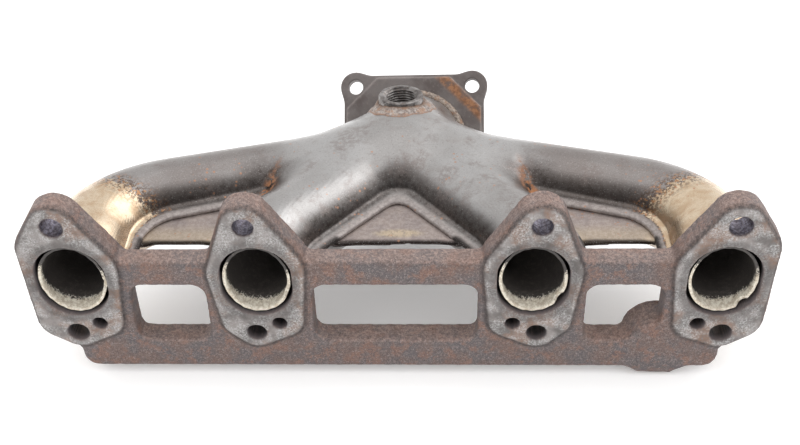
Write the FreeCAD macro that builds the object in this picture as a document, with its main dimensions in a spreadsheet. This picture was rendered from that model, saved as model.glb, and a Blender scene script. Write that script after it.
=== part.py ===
import FreeCAD, Part
import math
import os

from FreeCAD import Placement, Rotation, Vector

# Four-cylinder exhaust manifold with an air gap between pressed outer shells and thin inner liners.
# Origin: on the head face, midway between the two middle ports and between the two stud rows.
# +X runs along the ports, +Y away from the cylinder head, +Z up. Millimetres.

SIZES = [
    ("inner_stud_x", 67.8, "stud column of the two middle ports, from the centre"),
    ("outer_stud_x", 155.8, "stud column of the two outer ports: one 88 mm bore pitch further out"),
    ("stud_z", 32, "stud rows above and below the centre"),
    ("inner_stud_radius", 4.75, "clearance holes of the middle ports"),
    ("outer_stud_radius", 5.25, "larger clearance holes of the outer ports, which creep most when hot"),
    ("air_hole_radius", 3.5, "secondary air hole in each pad"),
    ("air_hole_inset", 11.7, "air hole from its stud column, towards the centre"),
    ("air_hole_z", -26.1, "air hole height"),
    ("air_riser_radius", 2.5, "cored riser from the gallery to each air hole"),
    ("port_inset", 2.7, "port axis from its stud column, towards the centre"),
    ("port_z", -0.3, "port axis height"),
    ("port_half_width", 17, "port opening, half width"),
    ("port_half_height", 20.5, "port opening, half height"),
    ("flange_depth", 13, "casting thickness at the ports"),
    ("pad_rise", 2, "machined pad in front of the rough casting"),
    ("window_top", -3.5, "upper edge of the three windows"),
    ("window_corner", 7, "window corner radius"),
    ("middle_window_edge", 39.6, "middle window, half width"),
    ("side_window_inner", 90.5, "side windows, edge nearer the centre"),
    ("side_window_outer", 127, "side windows, edge further out"),
    ("rail_front", 1.5, "front of the rails behind the pad faces"),
    ("rail_top", 11, "top rail, upper edge"),
    ("rail_edge_radius", 3.5, "rounded edges of the top rail"),
    ("gallery_top", -38.3, "air gallery bar, upper edge"),
    ("gallery_bottom", -56.8, "air gallery bar, lower edge"),
    ("gallery_back", 15, "back of the gallery bar"),
    ("gallery_edge_radius", 3, "rounded edges of the gallery bar"),
    ("gallery_half_length", 157, "gallery bar, half length"),
    ("gallery_end_radius", 9, "rounded lower corners at the ends of the gallery bar"),
    ("gallery_bore_radius", 5, "drilled air gallery"),
    ("gallery_plug_length", 6, "press-in plug at each end of the gallery"),
    ("boss_x", 127.7, "air pipe boss"),
    ("boss_z", -43.5, "air pipe boss height"),
    ("boss_radius", 16, "air pipe boss"),
    ("boss_back", 20, "back of the boss"),
    ("boss_flat_z", -60.4, "flat foot under the boss"),
    ("boss_flat_half", 9.6, "flat foot, half width"),
    ("boss_corner_radius", 2, "corners of the foot"),
    ("socket_radius", 7, "air pipe socket"),
    ("socket_depth", 6, "air pipe socket, from the back"),
    ("passage_radius", 3.5, "passage from the socket forward to the gallery"),
    ("runner_radius", 21.5, "outer runner tube"),
    ("shell_wall", 1.5, "pressed shell sheet"),
    ("seam_lip", 6, "flat lip of both shells beside the runners, where they lap"),
    ("outer_bend_radius", 48.5, "axis bend of runners 1 and 4"),
    ("outer_bend_y", 64.9, "where the straight runs of runners 1 and 4 would meet"),
    ("outer_lead_y", 22, "end of the level start of runners 1 and 4"),
    ("outer_lead_radius", 60, "small bend down after the level start"),
    ("outer_bend_z", -5, "axis of runners 1 and 4 at their bend"),
    ("outer_run_end_y", 116, "axis of runners 1 and 4 at the middle"),
    ("inner_bend_radius", 45, "axis bend of runners 2 and 3"),
    ("inner_bend_y", 30.3, "where the straight runs of runners 2 and 3 would meet"),
    ("inner_run_end_y", 107.9, "axis of runners 2 and 3 at the middle"),
    ("run_end_z", -10, "all runner axes at the middle"),
    ("liner_radius", 16.5, "inner liner tube, outside"),
    ("liner_wall", 1.2, "liner sheet"),
    ("mouth_half_width", 15.25, "oval liner mouth, outside"),
    ("mouth_half_height", 18.75, "oval liner mouth, outside"),
    ("mouth_setback", 2, "liner mouth behind the pad face"),
    ("slip_gap", 0.2, "radial clearance where a liner slides"),
    ("outer_liner_reach", 105, "end of liners 1 and 4 past the bend point"),
    ("inner_liner_reach", 55, "end of liners 2 and 3 past the bend point"),
    ("slip_overlap", 10, "how far a liner sits in its socket"),
    ("ring_length", 8, "knitted wire ring"),
    ("ring_gap", 4, "knitted wire ring from the mouth of the socket"),
    ("collector_y", 108, "middle of the collector"),
    ("collector_z", -9, "middle of the collector"),
    ("collector_half_width", 44, "collector, along X"),
    ("collector_half_depth", 33, "collector, along Y"),
    ("collector_half_height", 25.5, "collector, along Z"),
    ("collector_gap", 4.5, "air gap round the inner collector"),
    ("neck_radius", 28, "outer neck tube"),
    ("neck_liner_radius", 22, "inner neck tube"),
    ("neck_z", -11, "neck axis before its elbow"),
    ("neck_start_y", 100, "start of the neck axis"),
    ("neck_bend_radius", 30, "neck elbow"),
    ("outlet_x", 5.8, "middle of the outlet plate, at the base of its raised face"),
    ("outlet_y", 151, "middle of the outlet plate"),
    ("outlet_z", -21.5, "middle of the outlet plate"),
    ("outlet_tilt", 40, "outlet axis below the horizontal, degrees"),
    ("outlet_yaw", 3, "outlet axis towards +X, degrees"),
    ("outlet_roll", 2, "plate turned about its own axis, degrees"),
    ("outlet_plate", 8, "plate thickness"),
    ("outlet_rise", 2.5, "raised face on the neck side"),
    ("outlet_half_side", 41.2, "square plate, half side"),
    ("outlet_stud", 34.3, "stud holes, half of their square pitch"),
    ("outlet_stud_radius", 4.25, "stud holes"),
    ("outlet_ear_radius", 9, "round ear on each stud hole"),
    ("outlet_face_half", 39.5, "raised face, half side"),
    ("outlet_face_corner", 43.1, "raised face, centre to its cut corners"),
    ("outlet_liner_length", 14, "outlet liner from the back of the plate"),
    ("bung_y", 129, "oxygen sensor bung"),
    ("bung_seat_z", 17, "top of the neck under the bung"),
    ("bung_tilt", 4, "bung leaning back, degrees"),
    ("bung_radius", 12.2, "bung, outside"),
    ("bung_thread_radius", 8.25, "M18 x 1.5 thread, minor radius"),
    ("bung_height", 8, "bung above the neck"),
    ("bung_depth", 5, "bung through the shell"),
    ("sensor_hole_radius", 9.5, "hole in the inner collector for the sensor's tip"),
    ("weld_leg", 3, "fillet weld leg"),
    ("seam_bead_radius", 1.6, "weld bead along the rear seam"),
    ("seam_weld_start", 42, "rear seam weld, start past the bend point"),
    ("seam_weld_end", 122, "rear seam weld, end past the bend point"),
    ("web_front_y", 28, "front edge of the web panels between the runners"),
    ("lip_front_y", 24, "front end of the shell lips"),
    ("centre_web_front_x", 43.1, "middle web panel, half width at the front"),
    ("centre_web_back_x", 18, "middle web panel, half width at the back"),
    ("centre_web_back_y", 72, "middle web panel, back edge"),
    ("side_web_inner_x", 83.1, "side web panels, front corner nearer the middle"),
    ("side_web_outer_x", 133.1, "side web panels, front corner further out"),
    ("side_web_bend_x", 121.1, "side web panels, corner inside the bend of runners 1 and 4"),
    ("side_web_bend_y", 60, "the same corner, from the head face"),
    ("side_web_back_x", 60, "side web panels, back corner under the crotch"),
    ("side_web_back_y", 84, "the same corner, from the head face"),
    ("overcut", 2, "how far a cutting shape runs past the metal that it cuts"),
    ("buried_edge_radius", 1, "rounding of edges buried in the rest of the casting"),
    ("gallery_top_edge_radius", 2, "rounded upper back edge of the gallery bar"),
    ("air_hole_run", 1, "air hole past the far side of its riser"),
    ("gallery_plug_inset", 1, "gallery plug in from the end of the bar"),
    ("gallery_plug_play", 0.01, "gallery plug, radius under its bore"),
    ("bung_hole_gap", 0.05, "bung hole in the shell, radius over the bung"),
    ("bung_chamfer", 0.8, "outer chamfer of the bung"),
    ("bung_mouth_chamfer", 1, "chamfer of the threaded mouth"),
    ("bung_weld_foot_radius", 20.5, "cone that shapes the bung weld, radius at its foot"),
    ("bung_weld_top_radius", 13.2, "cone that shapes the bung weld, radius at its top"),
    ("bung_weld_depth", 12, "foot of that cone below the bung's seat"),
    ("bung_weld_height", 15, "height of that cone"),
    ("ring_play", 0.1, "wire ring to the sheet inside and outside it"),
    ("outlet_corner_radius", 14, "corners of the square plate between its ears"),
    ("outlet_bore_gap", 0.3, "plate bore over the neck liner"),
    ("outlet_liner_play", 0.1, "outlet liner over the neck liner"),
    ("inner_neck_setback", 1, "end of the inner neck before the plate"),
]

doc = FreeCAD.newDocument("exhaust_manifold")
sheet = doc.addObject("Spreadsheet::Sheet", "sizes")
for row, (alias, value, meaning) in enumerate(SIZES, start=1):
    sheet.set(f"A{row}", alias)
    sheet.set(f"B{row}", str(value))
    sheet.set(f"C{row}", meaning)
    sheet.setAlias(f"B{row}", alias)
doc.recompute()

SIZE = {alias: float(value) for alias, value, meaning in SIZES}
NODES = []
BEYOND = 230
TOUCHING = 0.01
SEAM_TURN = 100
WELD_THROAT = 0.6


def bind(obj, **formulas):
    """Bind properties to formulas over the sheet; a bare alias in braces stands for its cell."""
    for prop, formula in formulas.items():
        obj.setExpression(prop, formula.replace("{", "sizes.").replace("}", ""))
    return obj


def place(obj, x=0, y=0, z=0, axis=None, angle=0):
    turn = Rotation(Vector(*axis), angle) if axis else Rotation()
    obj.Placement = Placement(Vector(x, y, z), turn)
    return obj


def node(obj, label):
    """Mark an object as one finished piece of the manifold."""
    obj.Label = label
    NODES.append(obj)
    return obj


def cylinder(name, radius, length, x, y, z, axis=None, angle=0):
    bar = bind(doc.addObject("Part::Cylinder", name), Radius=radius, Height=length)
    return place(bar, x, y, z, axis, angle)


def along_y(name, radius, length, x, y, z):
    """Cylinder that starts at a point and runs towards +Y."""
    return cylinder(name, radius, length, x, y, z, (1, 0, 0), -90)


def fuse(name, shapes):
    obj = doc.addObject("Part::MultiFuse", name)
    obj.Shapes = shapes
    return obj


def cut(name, base, tool):
    obj = doc.addObject("Part::Cut", name)
    obj.Base, obj.Tool = base, tool
    return obj


def common(name, base, tool):
    obj = doc.addObject("Part::Common", name)
    obj.Base, obj.Tool = base, tool
    return obj


def sketch_on(body, role, name):
    """Sketch attached to one of the body's own origin planes."""
    sketch = body.newObject("Sketcher::SketchObject", name)
    plane = next(item for item in body.Origin.OriginFeatures if item.Role == role)
    sketch.AttachmentSupport = [(plane, "")]
    sketch.MapMode = "FlatFace"
    return sketch


def outline(sketch, edges):
    """Draw edges into a sketch."""
    for edge in edges:
        sketch.addGeometry(edge, False)


def padded_body(name, role, edges, length):
    """Body with one sketch padded by a length from the sheet."""
    body = doc.addObject("PartDesign::Body", name)
    sketch = sketch_on(body, role, name + "_outline")
    outline(sketch, edges)
    pad = body.newObject("PartDesign::Pad", name + "_pad")
    pad.Profile = sketch
    bind(pad, Length=length)
    doc.recompute()
    return body


def hull_edges(circles):
    """Convex outline round circles (x, y, r), given anticlockwise: arcs joined by tangent lines."""
    touch = []
    for i, (xa, ya, ra) in enumerate(circles):
        xb, yb, rb = circles[(i + 1) % len(circles)]
        heading = math.atan2(yb - ya, xb - xa)
        normal = heading - math.acos((ra - rb) / math.hypot(xb - xa, yb - ya))
        touch.append(normal)
    edges = []
    for i, (x, y, r) in enumerate(circles):
        start, end = touch[i - 1], touch[i]
        circle = Part.Circle(Vector(x, y, 0), Vector(0, 0, 1), r)
        edges.append(Part.ArcOfCircle(circle, start, end if end > start else end + 2 * math.pi))
    lines = []
    for i, arc in enumerate(edges):
        lines.append(Part.LineSegment(arc.EndPoint, edges[(i + 1) % len(edges)].StartPoint))
    return [piece for pair in zip(edges, lines) for piece in pair]


def rounded_box_edges(u0, v0, u1, v1, radii):
    """Rectangle with a radius at each corner: lower left, lower right, upper right, upper left."""
    corners = [(u0, v0), (u1, v0), (u1, v1), (u0, v1)]
    inward = [(1, 1), (-1, 1), (-1, -1), (1, -1)]
    circles = [(u + r * a, v + r * b, r) for (u, v), (a, b), r in zip(corners, inward, radii)]
    return hull_edges(circles)


# ---- casting: pads, rails, air gallery ------------------------------------------------------------

# Round lobes of a pad from its stud column: towards the centre, up, machined radius, rough radius.
PAD_LOBES = {
    "outer": [
        (12.2, -24, 11.5, 12.5),
        (8, 6, 18.3, 19.3),
        (0, 32, 11, 11.8),
        (-4, 16, 16, 17.1),
        (-7.5, -25, 11, 12.5),
        (0, -31, 10, 11),
    ],
    "inner": [
        (12.2, -24, 11.5, 12.5),
        (8, 6, 18.3, 19.3),
        (0, 32, 11, 11.8),
        (-4, 4, 16.5, 17.5),
        (-6.5, -25, 10, 11),
        (0, -31, 10, 11),
    ],
}
PORTS = [
    ("1", -SIZE["outer_stud_x"], 1, "outer"),
    ("2", -SIZE["inner_stud_x"], 1, "inner"),
    ("3", SIZE["inner_stud_x"], -1, "inner"),
    ("4", SIZE["outer_stud_x"], -1, "outer"),
]


def pad_edges(stud_x, inward, kind, rough):
    """Pad outline in the XZ plane. The lobes run anticlockwise for both hands."""
    lobes = []
    for across, up, machined_radius, rough_radius in PAD_LOBES[kind]:
        lobes.append((stud_x + inward * across, up, rough_radius if rough else machined_radius))
    return hull_edges(lobes if inward > 0 else lobes[::-1])


def xz_body(name, edges, front, length):
    """Body padded from the XZ plane: its sketch faces -Y, so the pad is reversed to grow towards +Y."""
    body = padded_body(name, "XZ_Plane", edges, length)
    body.Tip.Reversed = True
    body.Placement = Placement(Vector(0, front, 0), Rotation())
    doc.recompute()
    return body


solids = []
for tag, stud_x, inward, kind in PORTS:
    solids.append(xz_body("pad_face_" + tag, pad_edges(stud_x, inward, kind, False), 0, "{flange_depth}"))
    rough = pad_edges(stud_x, inward, kind, True)
    solids.append(xz_body("pad_body_" + tag, rough, SIZE["pad_rise"], "{flange_depth} - {pad_rise}"))


def rail_body(name, y0, z0, y1, z1, radii, length):
    """Bar along X with a rounded section, centred on X = 0."""
    body = padded_body(name, "YZ_Plane", rounded_box_edges(y0, z0, y1, z1, radii), length)
    body.Tip.Midplane = True
    doc.recompute()
    return body


buried = SIZE["buried_edge_radius"]
edge = SIZE["rail_edge_radius"]
solids.append(rail_body("top_rail", SIZE["rail_front"], SIZE["gallery_top"], SIZE["flange_depth"],
                        SIZE["rail_top"], (buried, buried, edge, edge), "2 * {outer_stud_x}"))
edge = SIZE["gallery_edge_radius"]
gallery = rail_body("gallery_bar", SIZE["rail_front"], SIZE["gallery_bottom"], SIZE["gallery_back"],
                    SIZE["gallery_top"], (edge, edge, SIZE["gallery_top_edge_radius"], buried),
                    "2 * {gallery_half_length}")
round_end = [SIZE["gallery_end_radius"]] * 4
half_length = SIZE["gallery_half_length"]
bar_face = rounded_box_edges(-half_length, SIZE["gallery_bottom"], half_length, SIZE["rail_top"], round_end)
ends = xz_body("gallery_ends", bar_face, -SIZE["overcut"], "{gallery_back} + 2 * {overcut}")
solids.append(common("gallery_rounded", gallery, ends))
corner = SIZE["boss_corner_radius"]
foot_x, foot_z = SIZE["boss_flat_half"] - corner, SIZE["boss_flat_z"] + corner
feet = [(SIZE["boss_x"] - foot_x, foot_z, corner), (SIZE["boss_x"] + foot_x, foot_z, corner)]
round_top = [(SIZE["boss_x"], SIZE["boss_z"], SIZE["boss_radius"])]
boss = xz_body("air_boss", hull_edges(feet + round_top), SIZE["rail_front"], "{boss_back} - {rail_front}")

before_face = -SIZE["overcut"]
through = "{flange_depth} + 2 * {overcut}"
bore_y = (SIZE["rail_front"] + SIZE["gallery_back"]) / 2
bore_z = (SIZE["gallery_top"] + SIZE["gallery_bottom"]) / 2
windows = []
round_corner = [SIZE["window_corner"]] * 4
for name, low_x, high_x in (
    ("left", -SIZE["side_window_outer"], -SIZE["side_window_inner"]),
    ("middle", -SIZE["middle_window_edge"], SIZE["middle_window_edge"]),
    ("right", SIZE["side_window_inner"], SIZE["side_window_outer"]),
):
    window = rounded_box_edges(low_x, SIZE["gallery_top"], high_x, SIZE["window_top"], round_corner)
    windows.append(xz_body("window_" + name, window, before_face, "{gallery_back} + 2 * {overcut}"))
holes = []
for tag, stud_x, inward, kind in PORTS:
    centre_x = stud_x + inward * SIZE["port_inset"]
    rise = SIZE["port_half_height"] - SIZE["port_half_width"]
    lobes = [(centre_x, SIZE["port_z"] - rise, SIZE["port_half_width"]),
             (centre_x, SIZE["port_z"] + rise, SIZE["port_half_width"])]
    holes.append(xz_body("port_" + tag, hull_edges(lobes), before_face, through))
    for level, z in (("upper", SIZE["stud_z"]), ("lower", -SIZE["stud_z"])):
        radius = "{" + kind + "_stud_radius}"
        holes.append(along_y(f"stud_{level}_{tag}", radius, through, stud_x, before_face, z))
    air_x = stud_x + inward * SIZE["air_hole_inset"]
    depth = f"{bore_y} + {{air_riser_radius}} + {{air_hole_run}} + {{overcut}}"
    holes.append(along_y("air_hole_" + tag, "{air_hole_radius}", depth, air_x, before_face,
                         SIZE["air_hole_z"]))
    holes.append(cylinder("air_riser_" + tag, "{air_riser_radius}", f"{{air_hole_z}} - {bore_z}",
                          air_x, bore_y, bore_z))
holes.append(cylinder("gallery_bore", "{gallery_bore_radius}", "2 * {gallery_half_length} + 2 * {overcut}",
                      before_face - half_length, bore_y, bore_z, (0, 1, 0), 90))
socket_y = SIZE["boss_back"] - SIZE["socket_depth"]
holes.append(along_y("air_socket", "{socket_radius}", "{socket_depth} + {overcut}", SIZE["boss_x"],
                     socket_y, SIZE["boss_z"]))
holes.append(along_y("air_passage", "{passage_radius}", f"{socket_y} + {{overcut}} - {bore_y}",
                     SIZE["boss_x"], bore_y, SIZE["boss_z"]))
casting = cut("casting_cut", fuse("casting_solid", solids), fuse("casting_windows", windows))
with_boss = fuse("casting_with_boss", [casting, boss])
node(cut("head_flange_cut", with_boss, fuse("machined_holes", holes)), "head_flange")

plug_end = half_length - SIZE["gallery_plug_inset"]
for side, start in (("left", -plug_end), ("right", plug_end - SIZE["gallery_plug_length"])):
    plug = cylinder("plug_" + side, "{gallery_bore_radius} - {gallery_plug_play}", "{gallery_plug_length}",
                    start, bore_y, bore_z, (0, 1, 0), 90)
    node(plug, "gallery_plug_" + side)


# ---- runner, collector and neck routes -----------------------------------------------------------

def rounded_route(points, radii):
    """Wire of straight runs joined by tangent arcs, with one radius for each inner point."""
    edges = []
    last = points[0]
    for before, corner, after, radius in zip(points, points[1:], points[2:], radii):
        back = (before - corner).normalize()
        ahead = (after - corner).normalize()
        half = back.getAngle(ahead) / 2
        reach = radius / math.tan(half)
        middle = corner + (back + ahead).normalize() * (radius / math.sin(half) - radius)
        edges.append(Part.LineSegment(last, corner + back * reach).toShape())
        edges.append(Part.Arc(corner + back * reach, middle, corner + ahead * reach).toShape())
        last = corner + ahead * reach
    edges.append(Part.LineSegment(last, points[-1]).toShape())
    return Part.Wire(edges)


def sweep(name, wire, radius):
    """Solid round bar of a radius from the sheet along a wire."""
    spine = doc.addObject("Part::Feature", name + "_route")
    spine.Shape = wire
    start = wire.Edges[0].valueAt(wire.Edges[0].FirstParameter)
    heading = wire.Edges[0].tangentAt(wire.Edges[0].FirstParameter)
    profile = bind(doc.addObject("Part::Circle", name + "_section"), Radius=radius)
    seam_turn = Rotation(Vector(0, 0, 1), SEAM_TURN)
    profile.Placement = Placement(start, Rotation(Vector(0, 0, 1), heading) * seam_turn)
    solid = doc.addObject("Part::Sweep", name)
    solid.Sections = [profile]
    solid.Spine = (spine, [f"Edge{i + 1}" for i in range(len(wire.Edges))])
    solid.Solid = True
    return solid


class Runner:
    """Axis of one runner: level from the port, one bend in plan, then down towards the middle."""

    def __init__(self, tag, stud_x, inward, kind):
        self.tag = tag
        self.kind = kind
        self.inward = inward
        self.x = stud_x + inward * SIZE["port_inset"]
        self.radius = SIZE[kind + "_bend_radius"]
        self.start = Vector(self.x, SIZE["flange_depth"], SIZE["port_z"])
        self.bend = Vector(self.x, SIZE[kind + "_bend_y"], SIZE["port_z"])
        self.end = Vector(0, SIZE[kind + "_run_end_y"], SIZE["run_end_z"])
        self.lead = []
        if kind == "outer":
            self.bend.z = SIZE["outer_bend_z"]
            self.lead = [Vector(self.x, SIZE["outer_lead_y"], SIZE["port_z"])]
        self.heading = (self.end - self.bend).normalize()

    def past_bend(self, reach):
        return self.bend + self.heading * reach

    def route(self, end=None):
        radii = [SIZE["outer_lead_radius"]] * len(self.lead) + [self.radius]
        return rounded_route([self.start] + self.lead + [self.bend, end or self.end], radii)


RUNNERS = [Runner(*port) for port in PORTS]
outlet_turn = (Rotation(Vector(0, 0, 1), -SIZE["outlet_yaw"])
               * Rotation(Vector(1, 0, 0), -90 - SIZE["outlet_tilt"])
               * Rotation(Vector(0, 0, 1), -SIZE["outlet_roll"]))
outlet_place = Placement(Vector(SIZE["outlet_x"], SIZE["outlet_y"], SIZE["outlet_z"]), outlet_turn)
outlet_axis = outlet_turn.multVec(Vector(0, 0, 1))
neck_foot = outlet_place.Base - outlet_axis * SIZE["outlet_rise"]
elbow_reach = (SIZE["neck_z"] - SIZE["outlet_z"]) / -outlet_axis.z
neck_points = [Vector(0, SIZE["neck_start_y"], SIZE["neck_z"]),
               outlet_place.Base - outlet_axis * elbow_reach, neck_foot]


def collector(name, shrink):
    """Egg-shaped middle of the collector, made smaller all round by a formula."""
    egg = bind(doc.addObject("Part::Ellipsoid", name),
               Radius1=f"{{collector_half_height}} - ({shrink})",
               Radius2=f"{{collector_half_width}} - ({shrink})",
               Radius3=f"{{collector_half_depth}} - ({shrink})")
    return place(egg, 0, SIZE["collector_y"], SIZE["collector_z"])


def shell_volume(name, inset):
    """Runners, collector and neck as one solid, inset from the outside of the sheet by a formula."""
    tube = f"{{runner_radius}} - ({inset})"
    parts = [sweep(f"{name}_runner_{r.tag}", r.route(), tube) for r in RUNNERS]
    parts.append(collector(name + "_collector", inset))
    parts.append(sweep(name + "_neck", rounded_route(neck_points, [SIZE["neck_bend_radius"]]),
                       f"{{neck_radius}} - ({inset})"))
    return fuse(name, parts)


outside = shell_volume("outside", "0")
inside = shell_volume("inside", "{shell_wall}")
bung_turn = Rotation(Vector(1, 0, 0), -SIZE["bung_tilt"])
bung_seat = Vector(0, SIZE["bung_y"], SIZE["bung_seat_z"])


# ---- shells: halves of the hollow, with a lip each side of the runners and webs between them -------

def plan_strip(runner, inner_side, outer_side):
    """Plan outline of a strip along a runner between two offsets from its axis, up to the middle."""
    def flat(v):
        return Vector(v.x, v.y, 0)

    first = Vector(runner.x, SIZE["lip_front_y"], 0)
    bend, end = flat(runner.bend), flat(runner.end)
    heading = (end - bend).normalize()
    turn = Vector(0, 1, 0).getAngle(heading)
    reach = runner.radius * math.tan(turn / 2)
    centre = bend - Vector(0, reach, 0) + Vector(runner.inward * runner.radius, 0, 0)
    if centre.y < first.y:
        first.y = centre.y

    def side(offset):
        """Line, arc, line at an offset from the axis towards the inside of the bend."""
        radius = runner.radius - offset
        inward = Vector(runner.inward, 0, 0)
        normal = Vector(heading.y, -heading.x, 0) * runner.inward
        a = first + inward * offset
        b = centre - inward * radius
        mid_way = (-inward - normal).normalize()
        c = centre - normal * radius
        d = end + normal * offset
        pieces = [Part.Arc(b, centre + mid_way * radius, c).toShape(), Part.LineSegment(c, d).toShape()]
        if (b - a).Length > TOUCHING:
            pieces.insert(0, Part.LineSegment(a, b).toShape())
        return a, d, pieces

    a0, d0, left = side(inner_side)
    a1, d1, right = side(outer_side)
    ends = [Part.LineSegment(a0, a1).toShape(), Part.LineSegment(d0, d1).toShape()]
    return Part.Wire(Part.__sortEdges__(left + right + ends))


def slab(name, wire, z, thickness):
    """Flat sheet piece of a plan outline."""
    base = doc.addObject("Part::Feature", name + "_outline")
    base.Shape = wire
    sheet_piece = doc.addObject("Part::Extrusion", name)
    sheet_piece.Base = base
    sheet_piece.DirMode = "Custom"
    sheet_piece.Dir = Vector(0, 0, 1)
    sheet_piece.Solid = True
    bind(sheet_piece, LengthFwd=thickness)
    sheet_piece.Placement = Placement(Vector(0, 0, z), Rotation())
    return sheet_piece


def lips(name, z):
    """Lips on the sides that face a neighbouring runner: one side of runners 1 and 4, both of 2 and 3."""
    half = SIZE["runner_radius"] + SIZE["seam_lip"]
    far = {"outer": 0, "inner": -half}
    pieces = []
    for r in RUNNERS:
        pieces.append(slab(f"{name}_{r.tag}", plan_strip(r, half, far[r.kind]), z, "{shell_wall}"))
    return pieces


def web(name, corners):
    """Flat web panel between two runners; its edges run under the lips."""
    points = [Vector(x, y, 0) for x, y in corners]
    return slab(name, Part.makePolygon(points + points[:1]), -SIZE["shell_wall"], "{shell_wall}")


front = SIZE["web_front_y"]
front_x, back_x = SIZE["centre_web_front_x"], SIZE["centre_web_back_x"]
back = SIZE["centre_web_back_y"]
webs = [web("web_centre", [(-front_x, front), (front_x, front), (back_x, back), (-back_x, back)])]
for side, hand in (("left", -1), ("right", 1)):
    corners = [(hand * SIZE["side_web_inner_x"], front), (hand * SIZE["side_web_outer_x"], front),
               (hand * SIZE["side_web_bend_x"], SIZE["side_web_bend_y"]),
               (hand * SIZE["side_web_back_x"], SIZE["side_web_back_y"])]
    webs.append(web("web_" + side, corners))

# Everything below the seam: level under the runners, then down along the middle of the neck.
fall = math.tan(math.radians(SIZE["outlet_tilt"]))
seam_bend_y = SIZE["outlet_y"] + SIZE["outlet_z"] / fall
profile = [(-BEYOND, 0), (seam_bend_y, 0), (BEYOND, -(BEYOND - seam_bend_y) * fall),
           (BEYOND, -BEYOND), (-BEYOND, -BEYOND)]
zone_points = [Vector(-BEYOND, y, z) for y, z in profile]
zone_outline = doc.addObject("Part::Feature", "lower_zone_outline")
zone_outline.Shape = Part.makePolygon(zone_points + zone_points[:1])
lower_zone = doc.addObject("Part::Extrusion", "lower_zone")
lower_zone.Base = zone_outline
lower_zone.DirMode = "Custom"
lower_zone.Dir = Vector(1, 0, 0)
lower_zone.LengthFwd = 2 * BEYOND
lower_zone.Solid = True

bung_hole = cylinder("bung_hole", "{bung_radius} + {bung_hole_gap}", "2 * {bung_radius}", 0, 0, 0)
hole_foot = bung_seat - bung_turn.multVec(Vector(0, 0, SIZE["bung_radius"]))
bung_hole.Placement = Placement(hole_foot, bung_turn)
upper_skin = cut("upper_skin", outside, lower_zone)
upper_solid = fuse("upper_solid", [upper_skin] + lips("upper_lip", 0))
node(cut("upper_shell_cut", upper_solid, fuse("upper_hollow", [inside, bung_hole])), "upper_shell")
lower_skin = common("lower_skin", outside, lower_zone)
lower_solid = fuse("lower_solid", [lower_skin] + lips("lower_lip", -SIZE["shell_wall"]) + webs)
node(cut("lower_shell_cut", lower_solid, inside), "lower_shell")


# ---- inner liners, their wire rings and the inner collector ---------------------------------------

def ellipse_wire(x, y, z, half_width, half_height):
    oval = Part.Ellipse(Vector(0, 0, 0), half_height, half_width)
    shape = Part.Wire([oval.toShape()])
    turn = Rotation(Vector(0, 0, 1), Vector(1, 0, 0), Vector(0, -1, 0), "ZXY")
    shape.Placement = Placement(Vector(x, y, z), turn)
    return shape


def mouth(name, runner, shrink):
    """Oval mouth that becomes round at the back of the casting."""
    oval = ellipse_wire(runner.x, SIZE["mouth_setback"], SIZE["port_z"],
                        SIZE["mouth_half_width"] - shrink, SIZE["mouth_half_height"] - shrink)
    circle = Part.Circle(runner.start, Vector(0, 1, 0), SIZE["liner_radius"] - shrink)
    loft = doc.addObject("Part::Feature", name)
    loft.Shape = Part.makeLoft([oval, Part.Wire([circle.toShape()])], True, False)
    return loft


def straight(name, start, heading, length, radius):
    """Round bar from a point along a heading."""
    bar = bind(doc.addObject("Part::Cylinder", name), Radius=radius)
    bar.Height = length
    bar.Placement = Placement(start, Rotation(Vector(0, 0, 1), heading))
    return bar


sockets = []
socket_bores = []
for r in RUNNERS:
    reach = SIZE[r.kind + "_liner_reach"]
    route = r.route(r.past_bend(reach))
    tube = cut("liner_tube_wall_" + r.tag, sweep("liner_tube_" + r.tag, route, "{liner_radius}"),
               sweep("liner_bore_" + r.tag, route, "{liner_radius} - {liner_wall}"))
    oval = cut("liner_mouth_wall_" + r.tag, mouth("liner_mouth_" + r.tag, r, 0),
               mouth("liner_mouth_bore_" + r.tag, r, SIZE["liner_wall"]))
    node(fuse("liner_" + r.tag, [oval, tube]), "runner_liner_" + r.tag)

    socket_start = r.past_bend(reach - SIZE["slip_overlap"])
    socket_length = (r.end - socket_start).Length
    sockets.append(straight("socket_" + r.tag, socket_start, r.heading, socket_length,
                            "{liner_radius} + {slip_gap} + {liner_wall}"))
    socket_bores.append(straight("socket_bore_" + r.tag, socket_start, r.heading, socket_length,
                                 "{liner_radius} + {slip_gap}"))

    ring_start = r.past_bend(reach - SIZE["slip_overlap"] - SIZE["ring_gap"] - SIZE["ring_length"])
    ring = straight("ring_" + r.tag, ring_start, r.heading, SIZE["ring_length"],
                    "{runner_radius} - {shell_wall} - {ring_play}")
    ring_bore = straight("ring_bore_" + r.tag, ring_start, r.heading, SIZE["ring_length"],
                         "{liner_radius} + {ring_play}")
    node(cut("ring_cut_" + r.tag, ring, ring_bore), "slip_ring_" + r.tag)

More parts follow.
